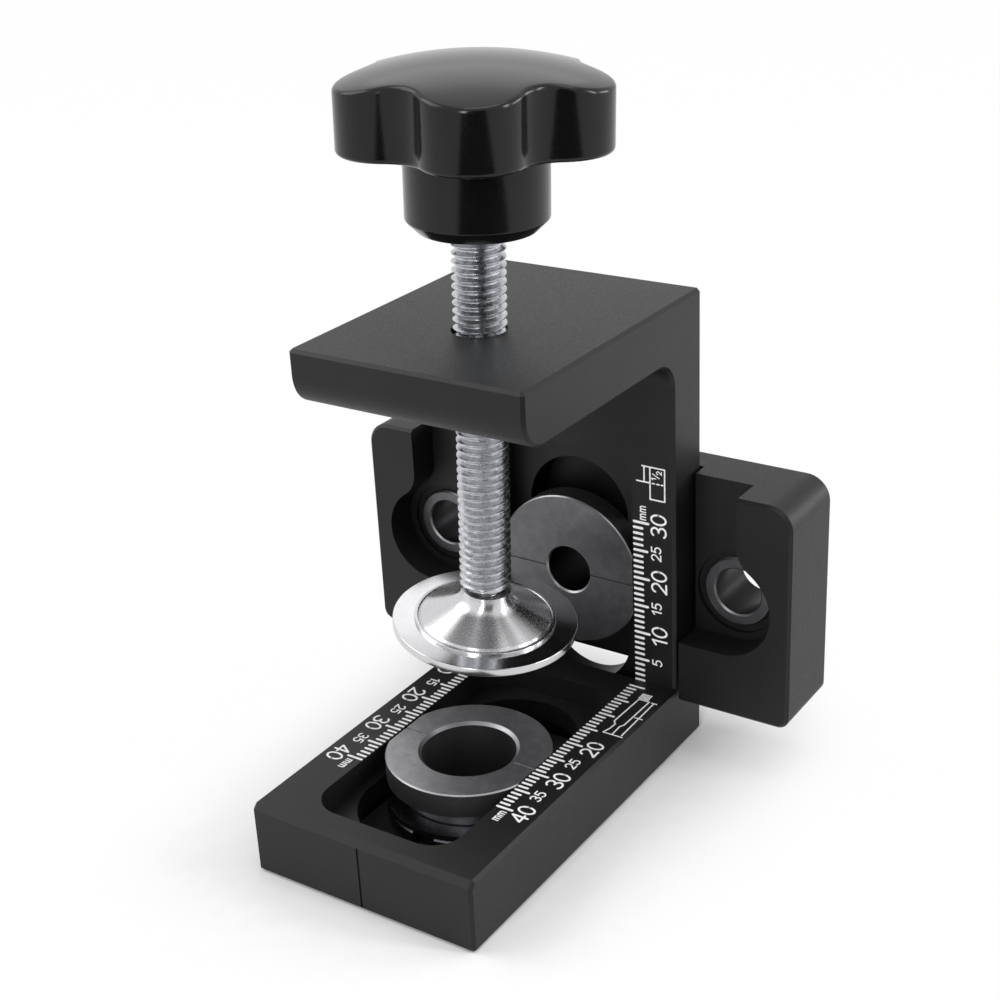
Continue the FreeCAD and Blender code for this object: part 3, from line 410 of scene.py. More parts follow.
# Each figure is one high; a plain list is a run of straight lines, an arc is a curve.
FIGURES = {
    "0": (0.62, [arc(0.31, 0.5, 0.31, 0, 360, 40, 0.5)]),
    "1": (0.45, [[(0.05, 0.76), (0.34, 1), (0.34, 0)]]),
    "2": (0.62, [arc(0.31, 0.7, 0.29, 165, -38, 24, 0.3), [(0.54, 0.52), (0.02, 0), (0.62, 0)]]),
    "3": (0.62, [arc(0.3, 0.75, 0.27, 150, -90, 24, 0.25),
                 arc(0.3, 0.25, 0.31, 90, -150, 24, 0.25)]),
    "4": (0.66, [[(0.48, 0), (0.48, 1), (0.02, 0.28), (0.66, 0.28)]]),
    "5": (0.62, [[(0.56, 1), (0.12, 1), (0.07, 0.55)],
                 arc(0.29, 0.32, 0.31, 135, -145, 24, 0.32)]),
    "m": (1.05, [[(0.05, 0), (0.05, 0.95)], arc(0.28, 0.6, 0.23, 180, 0, 16, 0.35),
                 [(0.51, 0), (0.51, 0.62)], arc(0.76, 0.6, 0.24, 180, 0, 16, 0.35),
                 [(1.0, 0), (1.0, 0.62)]]),
    "/": (0.5, [[(0, 0), (0.5, 1)]]),
}


def runs(marks):
    """Curves as they are, and each straight line of a run on its own."""
    paths = []
    for mark in marks:
        if isinstance(mark, np.ndarray):
            paths.append(mark)
        else:
            paths.extend(np.linspace(a, b, 3) for a, b in zip(mark[:-1], mark[1:]))
    return paths


def word(text, tall, gap=0.2):
    """Paths of a word, its figures side by side, centred along its length and standing on zero."""
    paths, at = [], 0
    for letter in text:
        wide, marks = FIGURES[letter]
        paths.extend((path + (at, 0)) * tall for path in runs(marks))
        at += wide + gap
    return [path - ((at - gap) * tall / 2, 0) for path in paths]


def put(paths, origin, right, up):
    """Paths moved to an origin, their own right and up turned to two directions of the face."""
    axes = np.array([right, up], float)
    return [path @ axes + origin for path in paths]


def inked(marks, ink):
    """All strokes of a print, each a hair higher than the last so that no two tops coincide."""
    hair, repeat = 0.0004, 30
    return join([stroke(path, width, 0, ink + hair * (number % repeat))
                 for number, (path, width) in enumerate(marks)])


def scale_marks(sizes, side, places, labels, unit_at):
    """Ticks and numbers beside a pocket edge, in a face whose first axis runs across.

    A tick's length depends on its number; numbers lie with their tops towards the pocket.
    """
    edge, number_gap = 12.5, 0.35
    bold, light, unit_line, unit_foot = 0.34, 0.24, 0.2, 2.35
    marks, tick = [], sizes["tick"]
    for number, place in places.items():
        kind = "long" if number % 10 == 0 else "middle" if number % 5 == 0 else "short"
        ends = [(side * (edge + tick / 2), place), (side * (edge + sizes[kind] - tick / 2), place)]
        marks.append((np.array(ends), tick))
    along, towards = (0, side), (-side, 0)
    for number in labels:
        tall, thick = (sizes["big"], bold) if number % 10 == 0 else (sizes["small"], light)
        foot = side * (edge + sizes["long"] + number_gap + tall)
        for path in put(word(str(number), tall), (foot, places[number]), along, towards):
            marks.append((path, thick))
    for path in put(word("mm", 1.0, 0.28), (side * (edge + unit_foot), unit_at), along, towards):
        marks.append((path, unit_line))
    return marks


def upright(surface):
    """Surface drawn across and up, stood up on the fence plane and facing the front."""
    points, faces = surface
    return np.stack([points[:, 0], -points[:, 2], points[:, 1]], -1), faces


# Node materials

def add(tree, kind, inputs=None, **settings):
    """Node with its settings, and with its inputs set to values or linked to (node, output)."""
    made = tree.nodes.new(kind)
    for name, setting in settings.items():
        setattr(made, name, setting)
    for name, given in (inputs or {}).items():
        if isinstance(given, tuple) and len(given) == 2 and isinstance(given[0], bpy.types.Node):
            tree.links.new(given[0].outputs[given[1]], made.inputs[name])
        else:
            made.inputs[name].default_value = given
    return made


def new_material(name):
    """Empty node material with its output."""
    made = bpy.data.materials.new(name)
    made.use_nodes = True
    made.node_tree.nodes.clear()
    return made, made.node_tree, made.node_tree.nodes.new("ShaderNodeOutputMaterial")


def shade(tree, output, shader):
    """Link a shader node to the output."""
    tree.links.new(shader.outputs[0], output.inputs["Surface"])


def tint(value, factor):
    """Colour with full opacity, lighter or darker by a factor."""
    return (*[min(channel * factor, 1) for channel in value], 1)


def per_mm(size):
    """Texture scale at which one feature is about this many millimetres across."""
    return 1 / (size * MM)


def anodised_aluminium(base):
    """Bead-blasted, black anodised aluminium: matt black with a fine grain and faint clouds."""
    made, tree, output = new_material("Black anodised aluminium")
    place = add(tree, "ShaderNodeTexCoord")
    # Blasting leaves pits of about 0.1 mm; they are drawn three times as coarse, so that they show.
    grain = add(tree, "ShaderNodeTexNoise", {
        "Vector": (place, "Object"), "Scale": per_mm(0.3), "Detail": 3.0})
    cloud = add(tree, "ShaderNodeTexNoise", {
        "Vector": (place, "Object"), "Scale": per_mm(9), "Detail": 2.0})
    both = add(tree, "ShaderNodeMath", {0: (grain, "Fac"), 1: (cloud, "Fac")}, operation="ADD")
    tone = add(tree, "ShaderNodeMapRange", {
        "Value": (both, 0), "From Min": 0.75, "From Max": 1.25})
    skin = add(tree, "ShaderNodeMix", {
        "Factor": (tone, 0), 6: tint(base, 0.72), 7: tint(base, 1.35)}, data_type="RGBA")
    rough = add(tree, "ShaderNodeMapRange", {
        "Value": (grain, "Fac"), "From Min": 0.3, "From Max": 0.7,
        "To Min": 0.42, "To Max": 0.54})
    pits = add(tree, "ShaderNodeBump", {
        "Height": (grain, "Fac"), "Strength": 0.25, "Distance": 0.02 * MM})
    shade(tree, output, add(tree, "ShaderNodeBsdfPrincipled", {
        "Base Color": (skin, 2), "Roughness": (rough, 0), "Normal": (pits, 0),
        "Specular IOR Level": 0.34}))
    return made


def on_axis(tree, centre, turn):
    """Object coordinates moved to a piece's own axis and turned so that the axis is Z."""
    place = add(tree, "ShaderNodeTexCoord")
    moved = add(tree, "ShaderNodeVectorMath", {
        0: (place, "Object"), 1: [value * MM for value in centre]}, operation="SUBTRACT")
    return add(tree, "ShaderNodeMapping", {
        "Vector": (moved, 0), "Rotation": turn}, vector_type="POINT")


def turned_steel(name, base, centre, turn, rough, bands=(), streaks=0.0, uneven=0.15, cut=0.12):
    """Turned steel: a soft metal sheen with fine rings, and bands of other colours.

    A band is two radii and the colour between them, as at a bore, and as a painted highlight at an
    edge.
    Uneven is the share by which the shade wanders over the face; cut is how much the rings show.
    """
    made, tree, output = new_material(name)
    local = on_axis(tree, centre, turn)
    parts = add(tree, "ShaderNodeSeparateXYZ", {0: (local, 0)})
    flat = add(tree, "ShaderNodeCombineXYZ", {"X": (parts, 0), "Y": (parts, 1)})
    radius = add(tree, "ShaderNodeVectorMath", {0: (flat, 0)}, operation="LENGTH")
    # Tool marks are near 0.1 mm apart; they are drawn 0.3 mm apart, so that they show. A wave's
    # scale of 1 is 20 / (2 pi) waves in a metre.
    marks = add(tree, "ShaderNodeTexWave", {
        "Vector": (local, 0), "Scale": per_mm(0.3) * math.pi / 10, "Distortion": 2.0,
        "Detail": 3.0, "Detail Scale": 1.5},
        wave_type="RINGS", rings_direction="Z", wave_profile="SIN")
    cloud = add(tree, "ShaderNodeTexNoise", {
        "Vector": (local, 0), "Scale": per_mm(2.2), "Detail": 4.0})
    fine = add(tree, "ShaderNodeTexNoise", {
        "Vector": (local, 0), "Scale": per_mm(0.22), "Detail": 2.0})
    both = add(tree, "ShaderNodeMath", {0: (cloud, "Fac"), 1: (fine, "Fac")}, operation="ADD")
    tone = add(tree, "ShaderNodeMapRange", {
        "Value": (both, 0), "From Min": 0.75, "From Max": 1.25})
    face = add(tree, "ShaderNodeMix", {
        "Factor": (tone, 0), 6: tint(base, 1 - uneven), 7: tint(base, 1 + uneven)},
        data_type="RGBA")
    colour_from = (face, 2)
    for low, high, shown in bands:
        over = add(tree, "ShaderNodeMath", {
            0: (radius, "Value"), 1: low * MM}, operation="GREATER_THAN")
        under = add(tree, "ShaderNodeMath", {
            0: (radius, "Value"), 1: high * MM}, operation="LESS_THAN")
        inside = add(tree, "ShaderNodeMath", {0: (over, 0), 1: (under, 0)}, operation="MULTIPLY")
        mixed = add(tree, "ShaderNodeMix", {
            "Factor": (inside, 0), 6: colour_from, 7: tint(shown, 1)}, data_type="RGBA")
        colour_from = (mixed, 2)
    gloss = add(tree, "ShaderNodeMapRange", {
        "Value": (fine, "Fac"), "From Min": 0.3, "From Max": 0.7,
        "To Min": rough - uneven / 3, "To Max": rough + uneven / 2})
    height = add(tree, "ShaderNodeMath", {0: (marks, "Fac"), 1: (fine, "Fac")}, operation="ADD")
    lines = add(tree, "ShaderNodeBump", {
        "Height": (height, 0), "Strength": cut, "Distance": 0.006 * MM})
    steel = add(tree, "ShaderNodeBsdfPrincipled", {
        "Base Color": colour_from, "Metallic": 1.0, "Roughness": (gloss, 0),
        "Normal": (lines, 0), "Anisotropic": streaks, "Anisotropic Rotation": 0.25})
    if streaks:
        # Rings that are too fine to show draw each light out into a streak across them.
        round_axis = add(tree, "ShaderNodeTangent", direction_type="RADIAL", axis="Z")
        tree.links.new(round_axis.outputs[0], steel.inputs["Tangent"])
    shade(tree, output, steel)
    return made


def zinc_plate(base):
    """Rolled thread with a thin zinc plate: bright crests, a little uneven along the flanks."""
    made, tree, output = new_material("Zinc plated steel")
    place = add(tree, "ShaderNodeTexCoord")
    patches = add(tree, "ShaderNodeTexNoise", {
        "Vector": (place, "Object"), "Scale": per_mm(0.9), "Detail": 4.0})
    tone = add(tree, "ShaderNodeMapRange", {
        "Value": (patches, "Fac"), "From Min": 0.3, "From Max": 0.7})
    skin = add(tree, "ShaderNodeMix", {
        "Factor": (tone, 0), 6: tint(base, 0.7), 7: tint(base, 1.1)}, data_type="RGBA")
    rough = add(tree, "ShaderNodeMapRange", {
        "Value": (patches, "Fac"), "From Min": 0.3, "From Max": 0.7,
        "To Min": 0.2, "To Max": 0.34})
    dents = add(tree, "ShaderNodeBump", {
        "Height": (patches, "Fac"), "Strength": 0.2, "Distance": 0.02 * MM})
    shade(tree, output, add(tree, "ShaderNodeBsdfPrincipled", {
        "Base Color": (skin, 2), "Metallic": 1.0, "Roughness": (rough, 0),
        "Normal": (dents, 0)}))
    return made


def moulded_plastic(base):
    """Compression-moulded phenolic: deep black, glossy, with the faint ripple of the mould."""
    made, tree, output = new_material("Black phenolic moulding")
    place = add(tree, "ShaderNodeTexCoord")
    ripple = add(tree, "ShaderNodeTexNoise", {
        "Vector": (place, "Object"), "Scale": per_mm(1.6), "Detail": 2.0})
    specks = add(tree, "ShaderNodeTexNoise", {
        "Vector": (place, "Object"), "Scale": per_mm(0.25), "Detail": 3.0})
    tone = add(tree, "ShaderNodeMapRange", {
        "Value": (specks, "Fac"), "From Min": 0.3, "From Max": 0.7})
    skin = add(tree, "ShaderNodeMix", {
        "Factor": (tone, 0), 6: tint(base, 0.8), 7: tint(base, 1.25)}, data_type="RGBA")
    rough = add(tree, "ShaderNodeMapRange", {
        "Value": (specks, "Fac"), "From Min": 0.3, "From Max": 0.7,
        "To Min": 0.13, "To Max": 0.22})
    peel = add(tree, "ShaderNodeBump", {
        "Height": (ripple, "Fac"), "Strength": 0.12, "Distance": 0.03 * MM})
    shade(tree, output, add(tree, "ShaderNodeBsdfPrincipled", {
        "Base Color": (skin, 2), "Roughness": (rough, 0), "Normal": (peel, 0),
        "Specular IOR Level": 0.3}))
    return made


def screen_print(base):
    """Screen-printed white ink: dead matt, with a thin patch here and there."""
    made, tree, output = new_material("White screen print")
    place = add(tree, "ShaderNodeTexCoord")
    thin = add(tree, "ShaderNodeTexNoise", {
        "Vector": (place, "Object"), "Scale": per_mm(0.5), "Detail": 3.0})
    tone = add(tree, "ShaderNodeMapRange", {
        "Value": (thin, "Fac"), "From Min": 0.35, "From Max": 0.65})
    skin = add(tree, "ShaderNodeMix", {
        "Factor": (tone, 0), 6: tint(base, 0.84), 7: tint(base, 1)}, data_type="RGBA")
    shade(tree, output, add(tree, "ShaderNodeBsdfPrincipled", {
        "Base Color": (skin, 2), "Roughness": 0.6}))
    return made


def looked_at(tree):
    """One for what the camera sees, straight, mirrored or through glass, and zero for light."""
    path = add(tree, "ShaderNodeLightPath")
    seen = add(tree, "ShaderNodeMath", {
        0: (path, "Is Camera Ray"), 1: (path, "Is Glossy Ray")}, operation="MAXIMUM")
    return add(tree, "ShaderNodeMath", {
        0: (seen, 0), 1: (path, "Is Transmission Ray")}, operation="MAXIMUM")


def past_box(tree, offset, half):
    """Distance outside a flat box: the length of what the offset has over the box's half sizes."""
    over = add(tree, "ShaderNodeVectorMath", {
        0: (offset, 0), 1: (half[0] * MM, half[1] * MM, 1)}, operation="SUBTRACT")
    over = add(tree, "ShaderNodeVectorMath", {0: (over, 0), 1: (0, 0, 0)}, operation="MAXIMUM")
    return add(tree, "ShaderNodeVectorMath", {0: (over, 0)}, operation="LENGTH")


def white_floor():
    """Seamless white paper: white to the eye and in reflections, darker where the jig shades it.

    The part shown as plain white grows with the distance from the jig's footprint, a box round the
    arm and the foot of the leg. Well inside the footprint the paper carries a painted shadow, dark
    grey, so that the slot of the arm shows dark.
    """
    made, tree, output = new_material("White paper")
    place = add(tree, "ShaderNodeTexCoord")
    centred = add(tree, "ShaderNodeVectorMath", {
        0: (place, "Object"), 1: (0, FOOTPRINT_MIDDLE * MM, CAD_BOX[0].z)},
        operation="SUBTRACT")
    offset = add(tree, "ShaderNodeVectorMath", {0: (centred, 0)}, operation="ABSOLUTE")
    away = past_box(tree, offset, FOOTPRINT)
    white = add(tree, "ShaderNodeMapRange", {
        "Value": (away, "Value"), "From Min": -1 * MM, "From Max": 30 * MM,
        "To Max": 0.97}, interpolation_type="SMOOTHSTEP")
    fibre = add(tree, "ShaderNodeTexNoise", {
        "Vector": (place, "Object"), "Scale": per_mm(4), "Detail": 3.0})
    tone = add(tree, "ShaderNodeMapRange", {"Value": (fibre, "Fac")})
    skin = add(tree, "ShaderNodeMix", {
        "Factor": (tone, 0), 6: tint(linear("f2f2f2"), 1), 7: tint(linear("fafafa"), 1)},
        data_type="RGBA")
    outward = past_box(tree, offset, PAINTED_SHADOW_HALF)
    outside_painted_shadow = add(tree, "ShaderNodeMapRange", {
        "Value": (outward, "Value"), "From Min": 5 * MM, "From Max": 14 * MM},
        interpolation_type="SMOOTHSTEP")
    # Painted shadow: well inside the footprint the paper is drawn dark grey instead of white.
    skin = add(tree, "ShaderNodeMix", {
        "Factor": (outside_painted_shadow, 0), 6: tint(linear("303030"), 1), 7: (skin, 2)}, data_type="RGBA")
    paper = add(tree, "ShaderNodeBsdfDiffuse", {"Color": (skin, 2)})
    glow = add(tree, "ShaderNodeEmission", {"Color": (1, 1, 1, 1), "Strength": 1.0})
    share = add(tree, "ShaderNodeMath", {
        0: (looked_at(tree), 0), 1: (white, 0)}, operation="MULTIPLY")
    shade(tree, output, add(tree, "ShaderNodeMixShader", {
        0: (share, 0), 1: (paper, 0), 2: (glow, 0)}))
    return made


def black_card():
    """Flocked black card: deep black, with no shine at all."""
    made, tree, output = new_material("Black card")
    place = add(tree, "ShaderNodeTexCoord")
    flock = add(tree, "ShaderNodeTexNoise", {
        "Vector": (place, "Object"), "Scale": per_mm(3)})
    skin = add(tree, "ShaderNodeMix", {
        "Factor": (flock, "Fac"), 6: tint(linear("0c0c0c"), 1), 7: tint(linear("161616"), 1)},
        data_type="RGBA")
    shade(tree, output, add(tree, "ShaderNodeBsdfDiffuse", {"Color": (skin, 2)}))
    return made


def bush_steel(name, base, hole, centre, turn, bore, mouth, rim):
    """Bush steel: satin face, dark honed bore, and a thin painted highlight round mouth and rim."""
    edge = bpy.context.scene.jig_colours.edge
    clear, rim_in, rim_out = 0.02, 0.18, 0.2
    wall = bore + clear
    # The mouth and rim bands are a painted highlight: a thin bright ring along each edge
    bands = [(0, wall, hole), (wall, wall + mouth, edge), (rim - rim_in, rim + rim_out, edge)]
    return turned_steel(name, base, centre, turn, rough=0.38, bands=bands)


def plain_steel(name, centre, turn):
    """Plain turned steel of nuts, washers, pins and joint screws: grey, with a low sheen."""
    return turned_steel(name, bpy.context.scene.jig_colours.plain, centre, turn, rough=0.3)


def set_finish(node, finish):
    """Give a CAD node one finish on all its slots."""
    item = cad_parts[node]
    if not item.material_slots:
        item.data.materials.append(finish)
    for slot in item.material_slots:
        slot.material = finish


# Operators

def print_sizes():
    """Sizes of the print in millimetres."""
    sizes = bpy.context.scene.jig_print
    names = ("ink", "tick", "short", "middle", "long", "big", "small")
    return {name: getattr(sizes, name) / MM for name in names}


class JIG_OT_screw(bpy.types.Operator):
    """Cut the thread, neck and ball of the clamp screw"""
    bl_idname = "jig.screw"
    bl_label = "Clamp Screw"

    def execute(self, context):
        sizes = context.scene.jig_thread
        thread = helical_thread(sizes.pitch / MM, sizes.depth / MM, SCREW_SHOULDER, SCREW_TOP)
        meet = math.degrees(math.acos(NECK_RADIUS / BALL_RADIUS))
        ball = arc(0, 0, BALL_RADIUS, -90, meet, steps=20)
        flare, inside = 0.2, SCREW_SHOULDER + 1
        neck = [(NECK_RADIUS, SCREW_SHOULDER - flare), (NECK_RADIUS + flare, SCREW_SHOULDER),
                (NECK_RADIUS, inside), (0, inside)]
        points, faces = join([thread, turned(np.concatenate([ball, neck]), columns=48)])
        points = points @ SCREW_FRAME.T + BALL
        finish = zinc_plate(context.scene.jig_colours.zinc)
        new_piece("screw_thread", (points, faces), "screw", finish,
                  replaced=["clamp_screw"])
        set_finish("knob_insert", finish)
        return {"FINISHED"}


class JIG_OT_knob(bpy.types.Operator):
    """Mould the star knob"""
    bl_idname = "jig.knob"
    bl_label = "Star Knob"

    def execute(self, context):
        points, faces = knob_surface()
        spin = turn_about((0, 0, 1), KNOB_TURN)
        points = (points @ spin.T + (0, 0, BALL_TO_KNOB)) @ SCREW_FRAME.T + BALL
        finish = moulded_plastic(context.scene.jig_colours.plastic)
        new_piece("knob_moulding", (points, faces), "screw", finish,
                  replaced=["knob"])
        return {"FINISHED"}


class JIG_OT_pad(bpy.types.Operator):
    """Turn the pressure plate and the bell over the ball"""
    bl_idname = "jig.pad"
    bl_label = "Swivel Pad"

    def execute(self, context):
        colours = context.scene.jig_colours
        turn = tuple(Matrix(PAD_FRAME.T.tolist()).to_euler())
        plated = turned_steel("Polished steel plate", colours.polished, BALL, turn, rough=0.16,
                              uneven=0.04, cut=0.02)
        drawn = turned_steel("Polished steel bell", colours.polished, BALL, turn, rough=0.27,
                             streaks=0.92, uneven=0.03, cut=0.02)
        bottom, edge = -PAD_DROP - PAD_THICK, 0.16
        plate = rounded([
            (0, bottom, 0), (PAD_RADIUS, bottom, edge), (PAD_RADIUS, -PAD_DROP, edge),
            (0, -PAD_DROP, 0)])
        bell = rounded([
            (9.3, -PAD_DROP, 0), (11.1, -PAD_DROP, 0.05), (11.1, -2.65, 0.16),
            (10.62, -2.65, 0.12), (10.4, -2.78, 0.06), (10.1, -2.42, 0.08), (3.9, 0.6, 1.8),
            (3.9, 2.1, 0.3), (2.2, 2.1, 0.2), (2.2, 1.66, 0), (2.75, 0, 0), (3.35, 0, 0)], steps=9)
        for name, surface, node, finish in (
                ("pad_plate_turned", turned(plate), "pad_plate", plated),
                ("pad_bell", turned(bell, closed_rows=True), "pad_dome", drawn)):
            points, faces = surface
            placed = (points @ PAD_FRAME.T + BALL, faces)
            new_piece(name, placed, "pad", finish, replaced=[node])
        set_finish("ball_seat", plated)
        return {"FINISHED"}


class JIG_OT_scales(bpy.types.Operator):
    """Print the scales of the leg and of the base arm"""
    bl_idname = "jig.scales"
    bl_label = "Printed Scales"

    def execute(self, context):
        sizes = print_sizes()
        ink = sizes["ink"]
        finish = screen_print(context.scene.jig_colours.print)
        leg_zero, arm_zero, leg_unit, arm_unit = -0.84, 2.1, 30.9, -44.1
        leg = {number: number + leg_zero for number in range(1, 31)}
        arm = {number: -(number + arm_zero) for number in range(0, 41)}
        board = scale_marks(sizes, 1, leg, range(5, 31, 5), leg_unit)
        near = scale_marks(sizes, 1, arm, range(20, 41, 5), arm_unit)
        far = scale_marks(sizes, -1, arm, range(5, 41, 5), arm_unit)
        for name, surface in (
                ("scale_leg", upright(inked(board, ink))), ("scale_right", inked(near, ink)),
                ("scale_left", inked(far, ink))):
            new_piece(name, surface, "frame", finish, crease=40)
        return {"FINISHED"}


class JIG_OT_signs(bpy.types.Operator):
    """Print the two small drawings: half the board's thickness, and a bolt with its length"""
    bl_idname = "jig.signs"
    bl_label = "Printed Drawings"

    def execute(self, context):
        ink = print_sizes()["ink"]
        finish = bpy.data.materials["White screen print"]
        line, thin = 0.24, 0.16
        low, middle, high = 33.6, 36.4, 39.1
        board = [(15.7, high), (18.3, high), (18.3, low), (15.7, low), (15.7, high)]
        marks = [(path, line) for path in runs([
            board, [(14.3, high), (15.7, high)], [(13.3, middle), (15.7, middle)],
            [(14.65, middle), (14.65, high)], [(16.1, middle), (16.5, middle)],
            [(16.9, middle), (17.3, middle)], [(17.7, middle), (18.0, middle)]])]
        for text, place, tall in (
                ("1", (16.75, 37.2), 0.75), ("/", (17.35, 37.75), 1.2),
                ("2", (17.75, 38.35), 0.85)):
            marks.extend((path, thin) for path in put(word(text, tall), place, (0, 1), (-1, 0)))
        new_piece("sign_board", upright(inked(marks, ink)), "frame", finish, crease=40)

        head = [16.0 + 0.32 * step for step in range(6)]
        bolt = [[(across, -3.6), (across + 0.05, -5.1)] for across in head]
        shank = [(16.2, -5.4), (16.0, -13.1), (16.6, -13.9), (16.5, -15.3), (16.1, -16.85),
                 (19.5, -16.85)]
        other = [(18.1, -5.4), (18.0, -13.5), (17.6, -14.2), (17.7, -16.85)]
        measure = [[(19.2, -16.4), (19.0, -5.6)], [(18.4, -10.7), (19.7, -10.7)],
                   [(18.6, -5.5), (19.5, -5.5)]]
        collar = [(16.2, -5.4), (18.1, -5.4)]
        marks = [(path, line) for path in runs([*bolt, shank, other, *measure, collar])]
        new_piece("sign_bolt", inked(marks, ink), "frame", finish, crease=40)
        return {"FINISHED"}


class JIG_OT_finishes(bpy.types.Operator):
    """Give every CAD node that shows its finish"""
    bl_idname = "jig.finishes"
    bl_label = "Metal Finishes"

    def execute(self, context):
        colours = context.scene.jig_colours
        skin = anodised_aluminium(colours.anodised)
        for node in ("clamp_frame", "base_arm", "cross_block"):
            set_finish(node, skin)
        set_finish("cam_bush", bush_steel("Ground steel, large bush", colours.ground, colours.bore,
                                          CAM_PLACE, UPRIGHT, CAM_BORE, CAM_MOUTH, FLANGE_RADIUS))
        centre = (0, 0, DRILL_HEIGHT)
        left, right = (-BUSH_ACROSS, 0, DRILL_HEIGHT), (BUSH_ACROSS, 0, DRILL_HEIGHT)
        for node, place, rim in (
                ("centre_bush", centre, FLANGE_RADIUS),
                ("left_dowel_bush", left, DRILL_BUSH_RADIUS),
                ("right_dowel_bush", right, DRILL_BUSH_RADIUS)):
            name = "Blackened steel, " + node.replace("_", " ")
            set_finish(node, bush_steel(name, colours.blackened, colours.oiled, place, LYING,
                                        DRILL_BORE, DRILL_MOUTH, rim))
        rest = [("cam_washer", CAM_PLACE, UPRIGHT), ("cam_nut", CAM_PLACE, UPRIGHT),
                ("centre_washer", centre, LYING), ("centre_nut", centre, LYING)]
        for side, name in ((-1, "left"), (1, "right")):
            rest.append(("arm_screw_" + name, (side * JOINT_SCREW[0], 0, JOINT_SCREW[1]), LYING))
            rest.append(("arm_pin_" + name, (side * JOINT_PIN[0], 0, JOINT_PIN[1]), LYING))
        for node, place, turn in rest:
            set_finish(node, plain_steel("Plain steel, " + node.replace("_", " "), place, turn))
        return {"FINISHED"}


def flat_piece(name, corners, faces, finish):
    """Flat piece of the studio from its corners, in metres."""
    mesh = bpy.data.meshes.new(name)
    mesh.from_pydata(np.asarray(corners, float).tolist(), [], faces)
    mesh.materials.append(finish)
    piece = bpy.data.objects.new(name, mesh)
    bpy.context.scene.collection.objects.link(piece)
    return piece


def hang_lamps(scene):
    """Soft rectangular lamps, each facing the jig."""
    aim = Vector(LAMP_AIM)
    for name, (setting, place, wide, tall) in LAMPS.items():
        lamp = bpy.data.lights.new(name, "AREA")
        lamp.shape, lamp.size, lamp.size_y = "RECTANGLE", wide, tall
        lamp.energy = getattr(scene.jig_stage, setting)
        item = bpy.data.objects.new(name, lamp)
        item.location = place
        item.rotation_euler = (aim - Vector(place)).to_track_quat("-Z", "Y").to_euler()
        item.visible_camera = False
        scene.collection.objects.link(item)


def light_surroundings(scene):
    """Surroundings that are white to look at and give light at the level of the sky setting."""
    world = bpy.data.worlds.new("Studio surroundings")
    world.use_nodes = True
    tree = world.node_tree
    tree.nodes.clear()
    shown = add(tree, "ShaderNodeMix", {
        "Factor": (looked_at(tree), 0), 2: scene.jig_stage.sky, 3: 1.0}, data_type="FLOAT")
    sky = add(tree, "ShaderNodeBackground", {"Color": (1, 1, 1, 1), "Strength": (shown, 0)})
    add(tree, "ShaderNodeOutputWorld", {"Surface": (sky, 0)})
    scene.world = world


def stand_camera(scene):
    """Camera of the photo, turned by yaw, then pitch, then roll about its own line of sight."""
    level_share = math.cos(CAMERA_PITCH)
    ahead = Vector((-math.sin(CAMERA_YAW) * level_share, math.cos(CAMERA_YAW) * level_share,
                    -math.sin(CAMERA_PITCH)))
    right = Vector((math.cos(CAMERA_YAW), math.sin(CAMERA_YAW), 0))
    over = right.cross(ahead)
    across = right * math.cos(CAMERA_ROLL) + over * math.sin(CAMERA_ROLL)
    up = over * math.cos(CAMERA_ROLL) - right * math.sin(CAMERA_ROLL)
    camera = bpy.data.cameras.new("camera")
    camera.sensor_width = SENSOR_WIDTH
    camera.lens = SENSOR_WIDTH * CAMERA_FOCAL
    camera.clip_start, camera.clip_end = 0.01, 20
    item = bpy.data.objects.new("camera", camera)
    turn = Matrix((across, up, -ahead)).transposed().to_4x4()
    item.matrix_world = Matrix.Translation(Vector(CAMERA_PLACE) * MM) @ turn
    scene.collection.objects.link(item)
    scene.camera = item


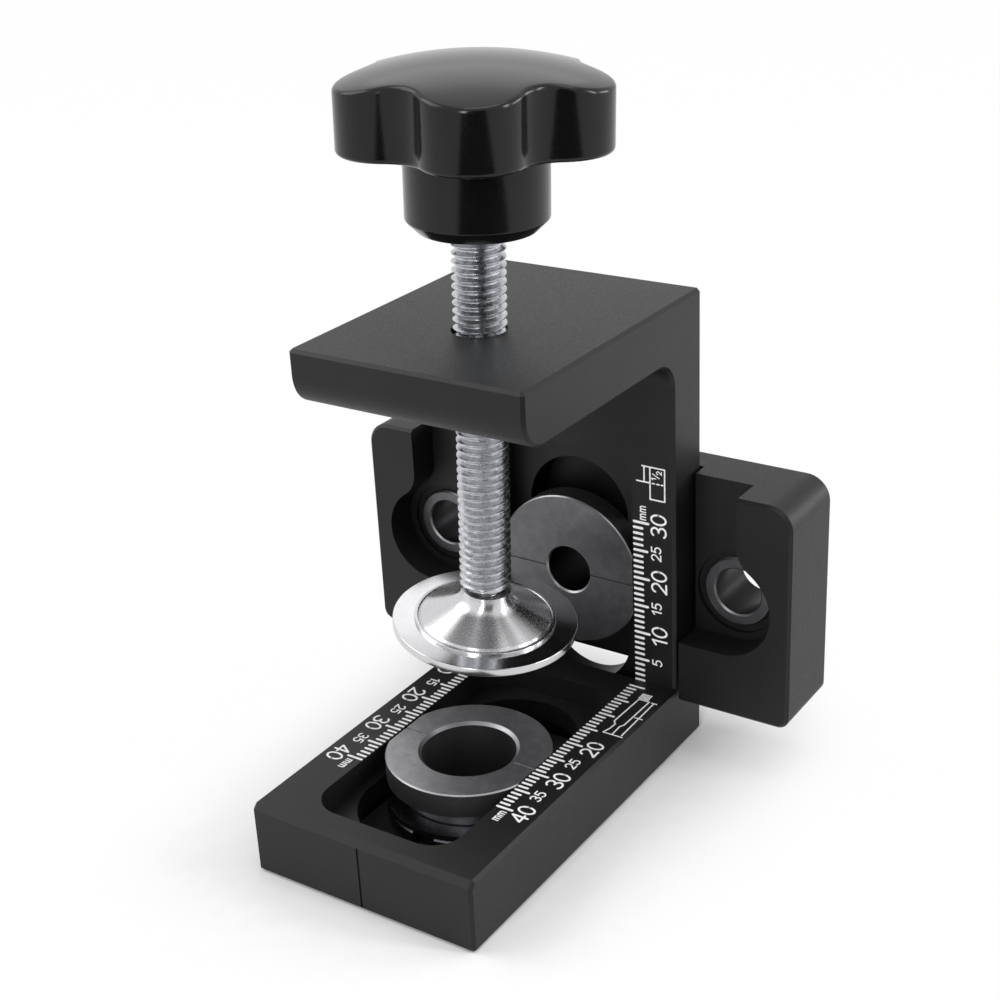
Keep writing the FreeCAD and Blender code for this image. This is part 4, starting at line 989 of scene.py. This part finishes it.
class JIG_OT_stage(bpy.types.Operator):
    """Lay the floor and set the lamps, the surroundings and the camera"""
    bl_idname = "jig.stage"
    bl_label = "Studio"

    def execute(self, context):
        scene = context.scene
        height = CAD_BOX[0].z - FLOOR_GAP
        corners = [(across * FLOOR_HALF, along * FLOOR_HALF, height)
                   for across, along in ((-1, -1), (1, -1), (1, 1), (-1, 1))]
        floor = flat_piece("floor", corners, [(0, 1, 2, 3)], white_floor())

        # A black card lies below the camera and stands up behind it. It is seen only in reflections
        # and keeps the knob's walls and the jig's front deep black.
        low = height + CARD_LIFT
        corners = [(*place, low) for place in CARD_NEAR + CARD_FAR]
        corners += [(*place, CARD_TOP) for place in CARD_FAR]
        corners = np.array(corners) @ turn_about((0, 0, 1), math.degrees(CAMERA_YAW)).T
        card = flat_piece("card", corners, [(0, 3, 2, 1), (3, 5, 4, 2)], black_card())
        card.visible_camera = card.visible_diffuse = False
        card.visible_shadow = card.visible_transmission = False

        hang_lamps(scene)
        light_surroundings(scene)
        stand_camera(scene)
        scene.view_settings.view_transform = "Standard"
        return {"FINISHED"}


class JIG_PT_panel(bpy.types.Panel):
    """Pieces of the jig, with their sizes and colours"""
    bl_idname = "JIG_PT_panel"
    bl_label = "Doweling Jig"
    bl_space_type = "VIEW_3D"
    bl_region_type = "UI"
    bl_category = "Jig"

    def draw(self, context):
        layout = self.layout
        for maker in MAKERS:
            layout.operator(maker.bl_idname)
        for group in GROUPS:
            settings = getattr(context.scene, group)
            box = layout.box()
            box.label(text=group.replace("_", " "))
            for name in settings.bl_rna.properties.keys():
                if name not in ("rna_type", "name"):
                    box.prop(settings, name)


MAKERS = (JIG_OT_screw, JIG_OT_knob, JIG_OT_pad, JIG_OT_scales, JIG_OT_signs, JIG_OT_finishes,
          JIG_OT_stage)
GROUPS = {"jig_thread": JigThread, "jig_print": JigPrint, "jig_colours": JigColours,
          "jig_stage": JigStage}


def register():
    """Register the classes and hang the settings on the scene."""
    for item in (*GROUPS.values(), *MAKERS, JIG_PT_panel):
        bpy.utils.register_class(item)
    for name, group in GROUPS.items():
        setattr(bpy.types.Scene, name, bpy.props.PointerProperty(type=group))


def unregister():
    """Undo register."""
    for name in GROUPS:
        delattr(bpy.types.Scene, name)
    for item in (JIG_PT_panel, *reversed(MAKERS), *reversed(GROUPS.values())):
        bpy.utils.unregister_class(item)


def main():
    """Make every piece and the studio."""
    register()
    bpy.ops.jig.screw()
    bpy.ops.jig.knob()
    bpy.ops.jig.pad()
    bpy.ops.jig.scales()
    bpy.ops.jig.signs()
    bpy.ops.jig.finishes()
    bpy.ops.jig.stage()


if __name__ == "__main__":
    main()
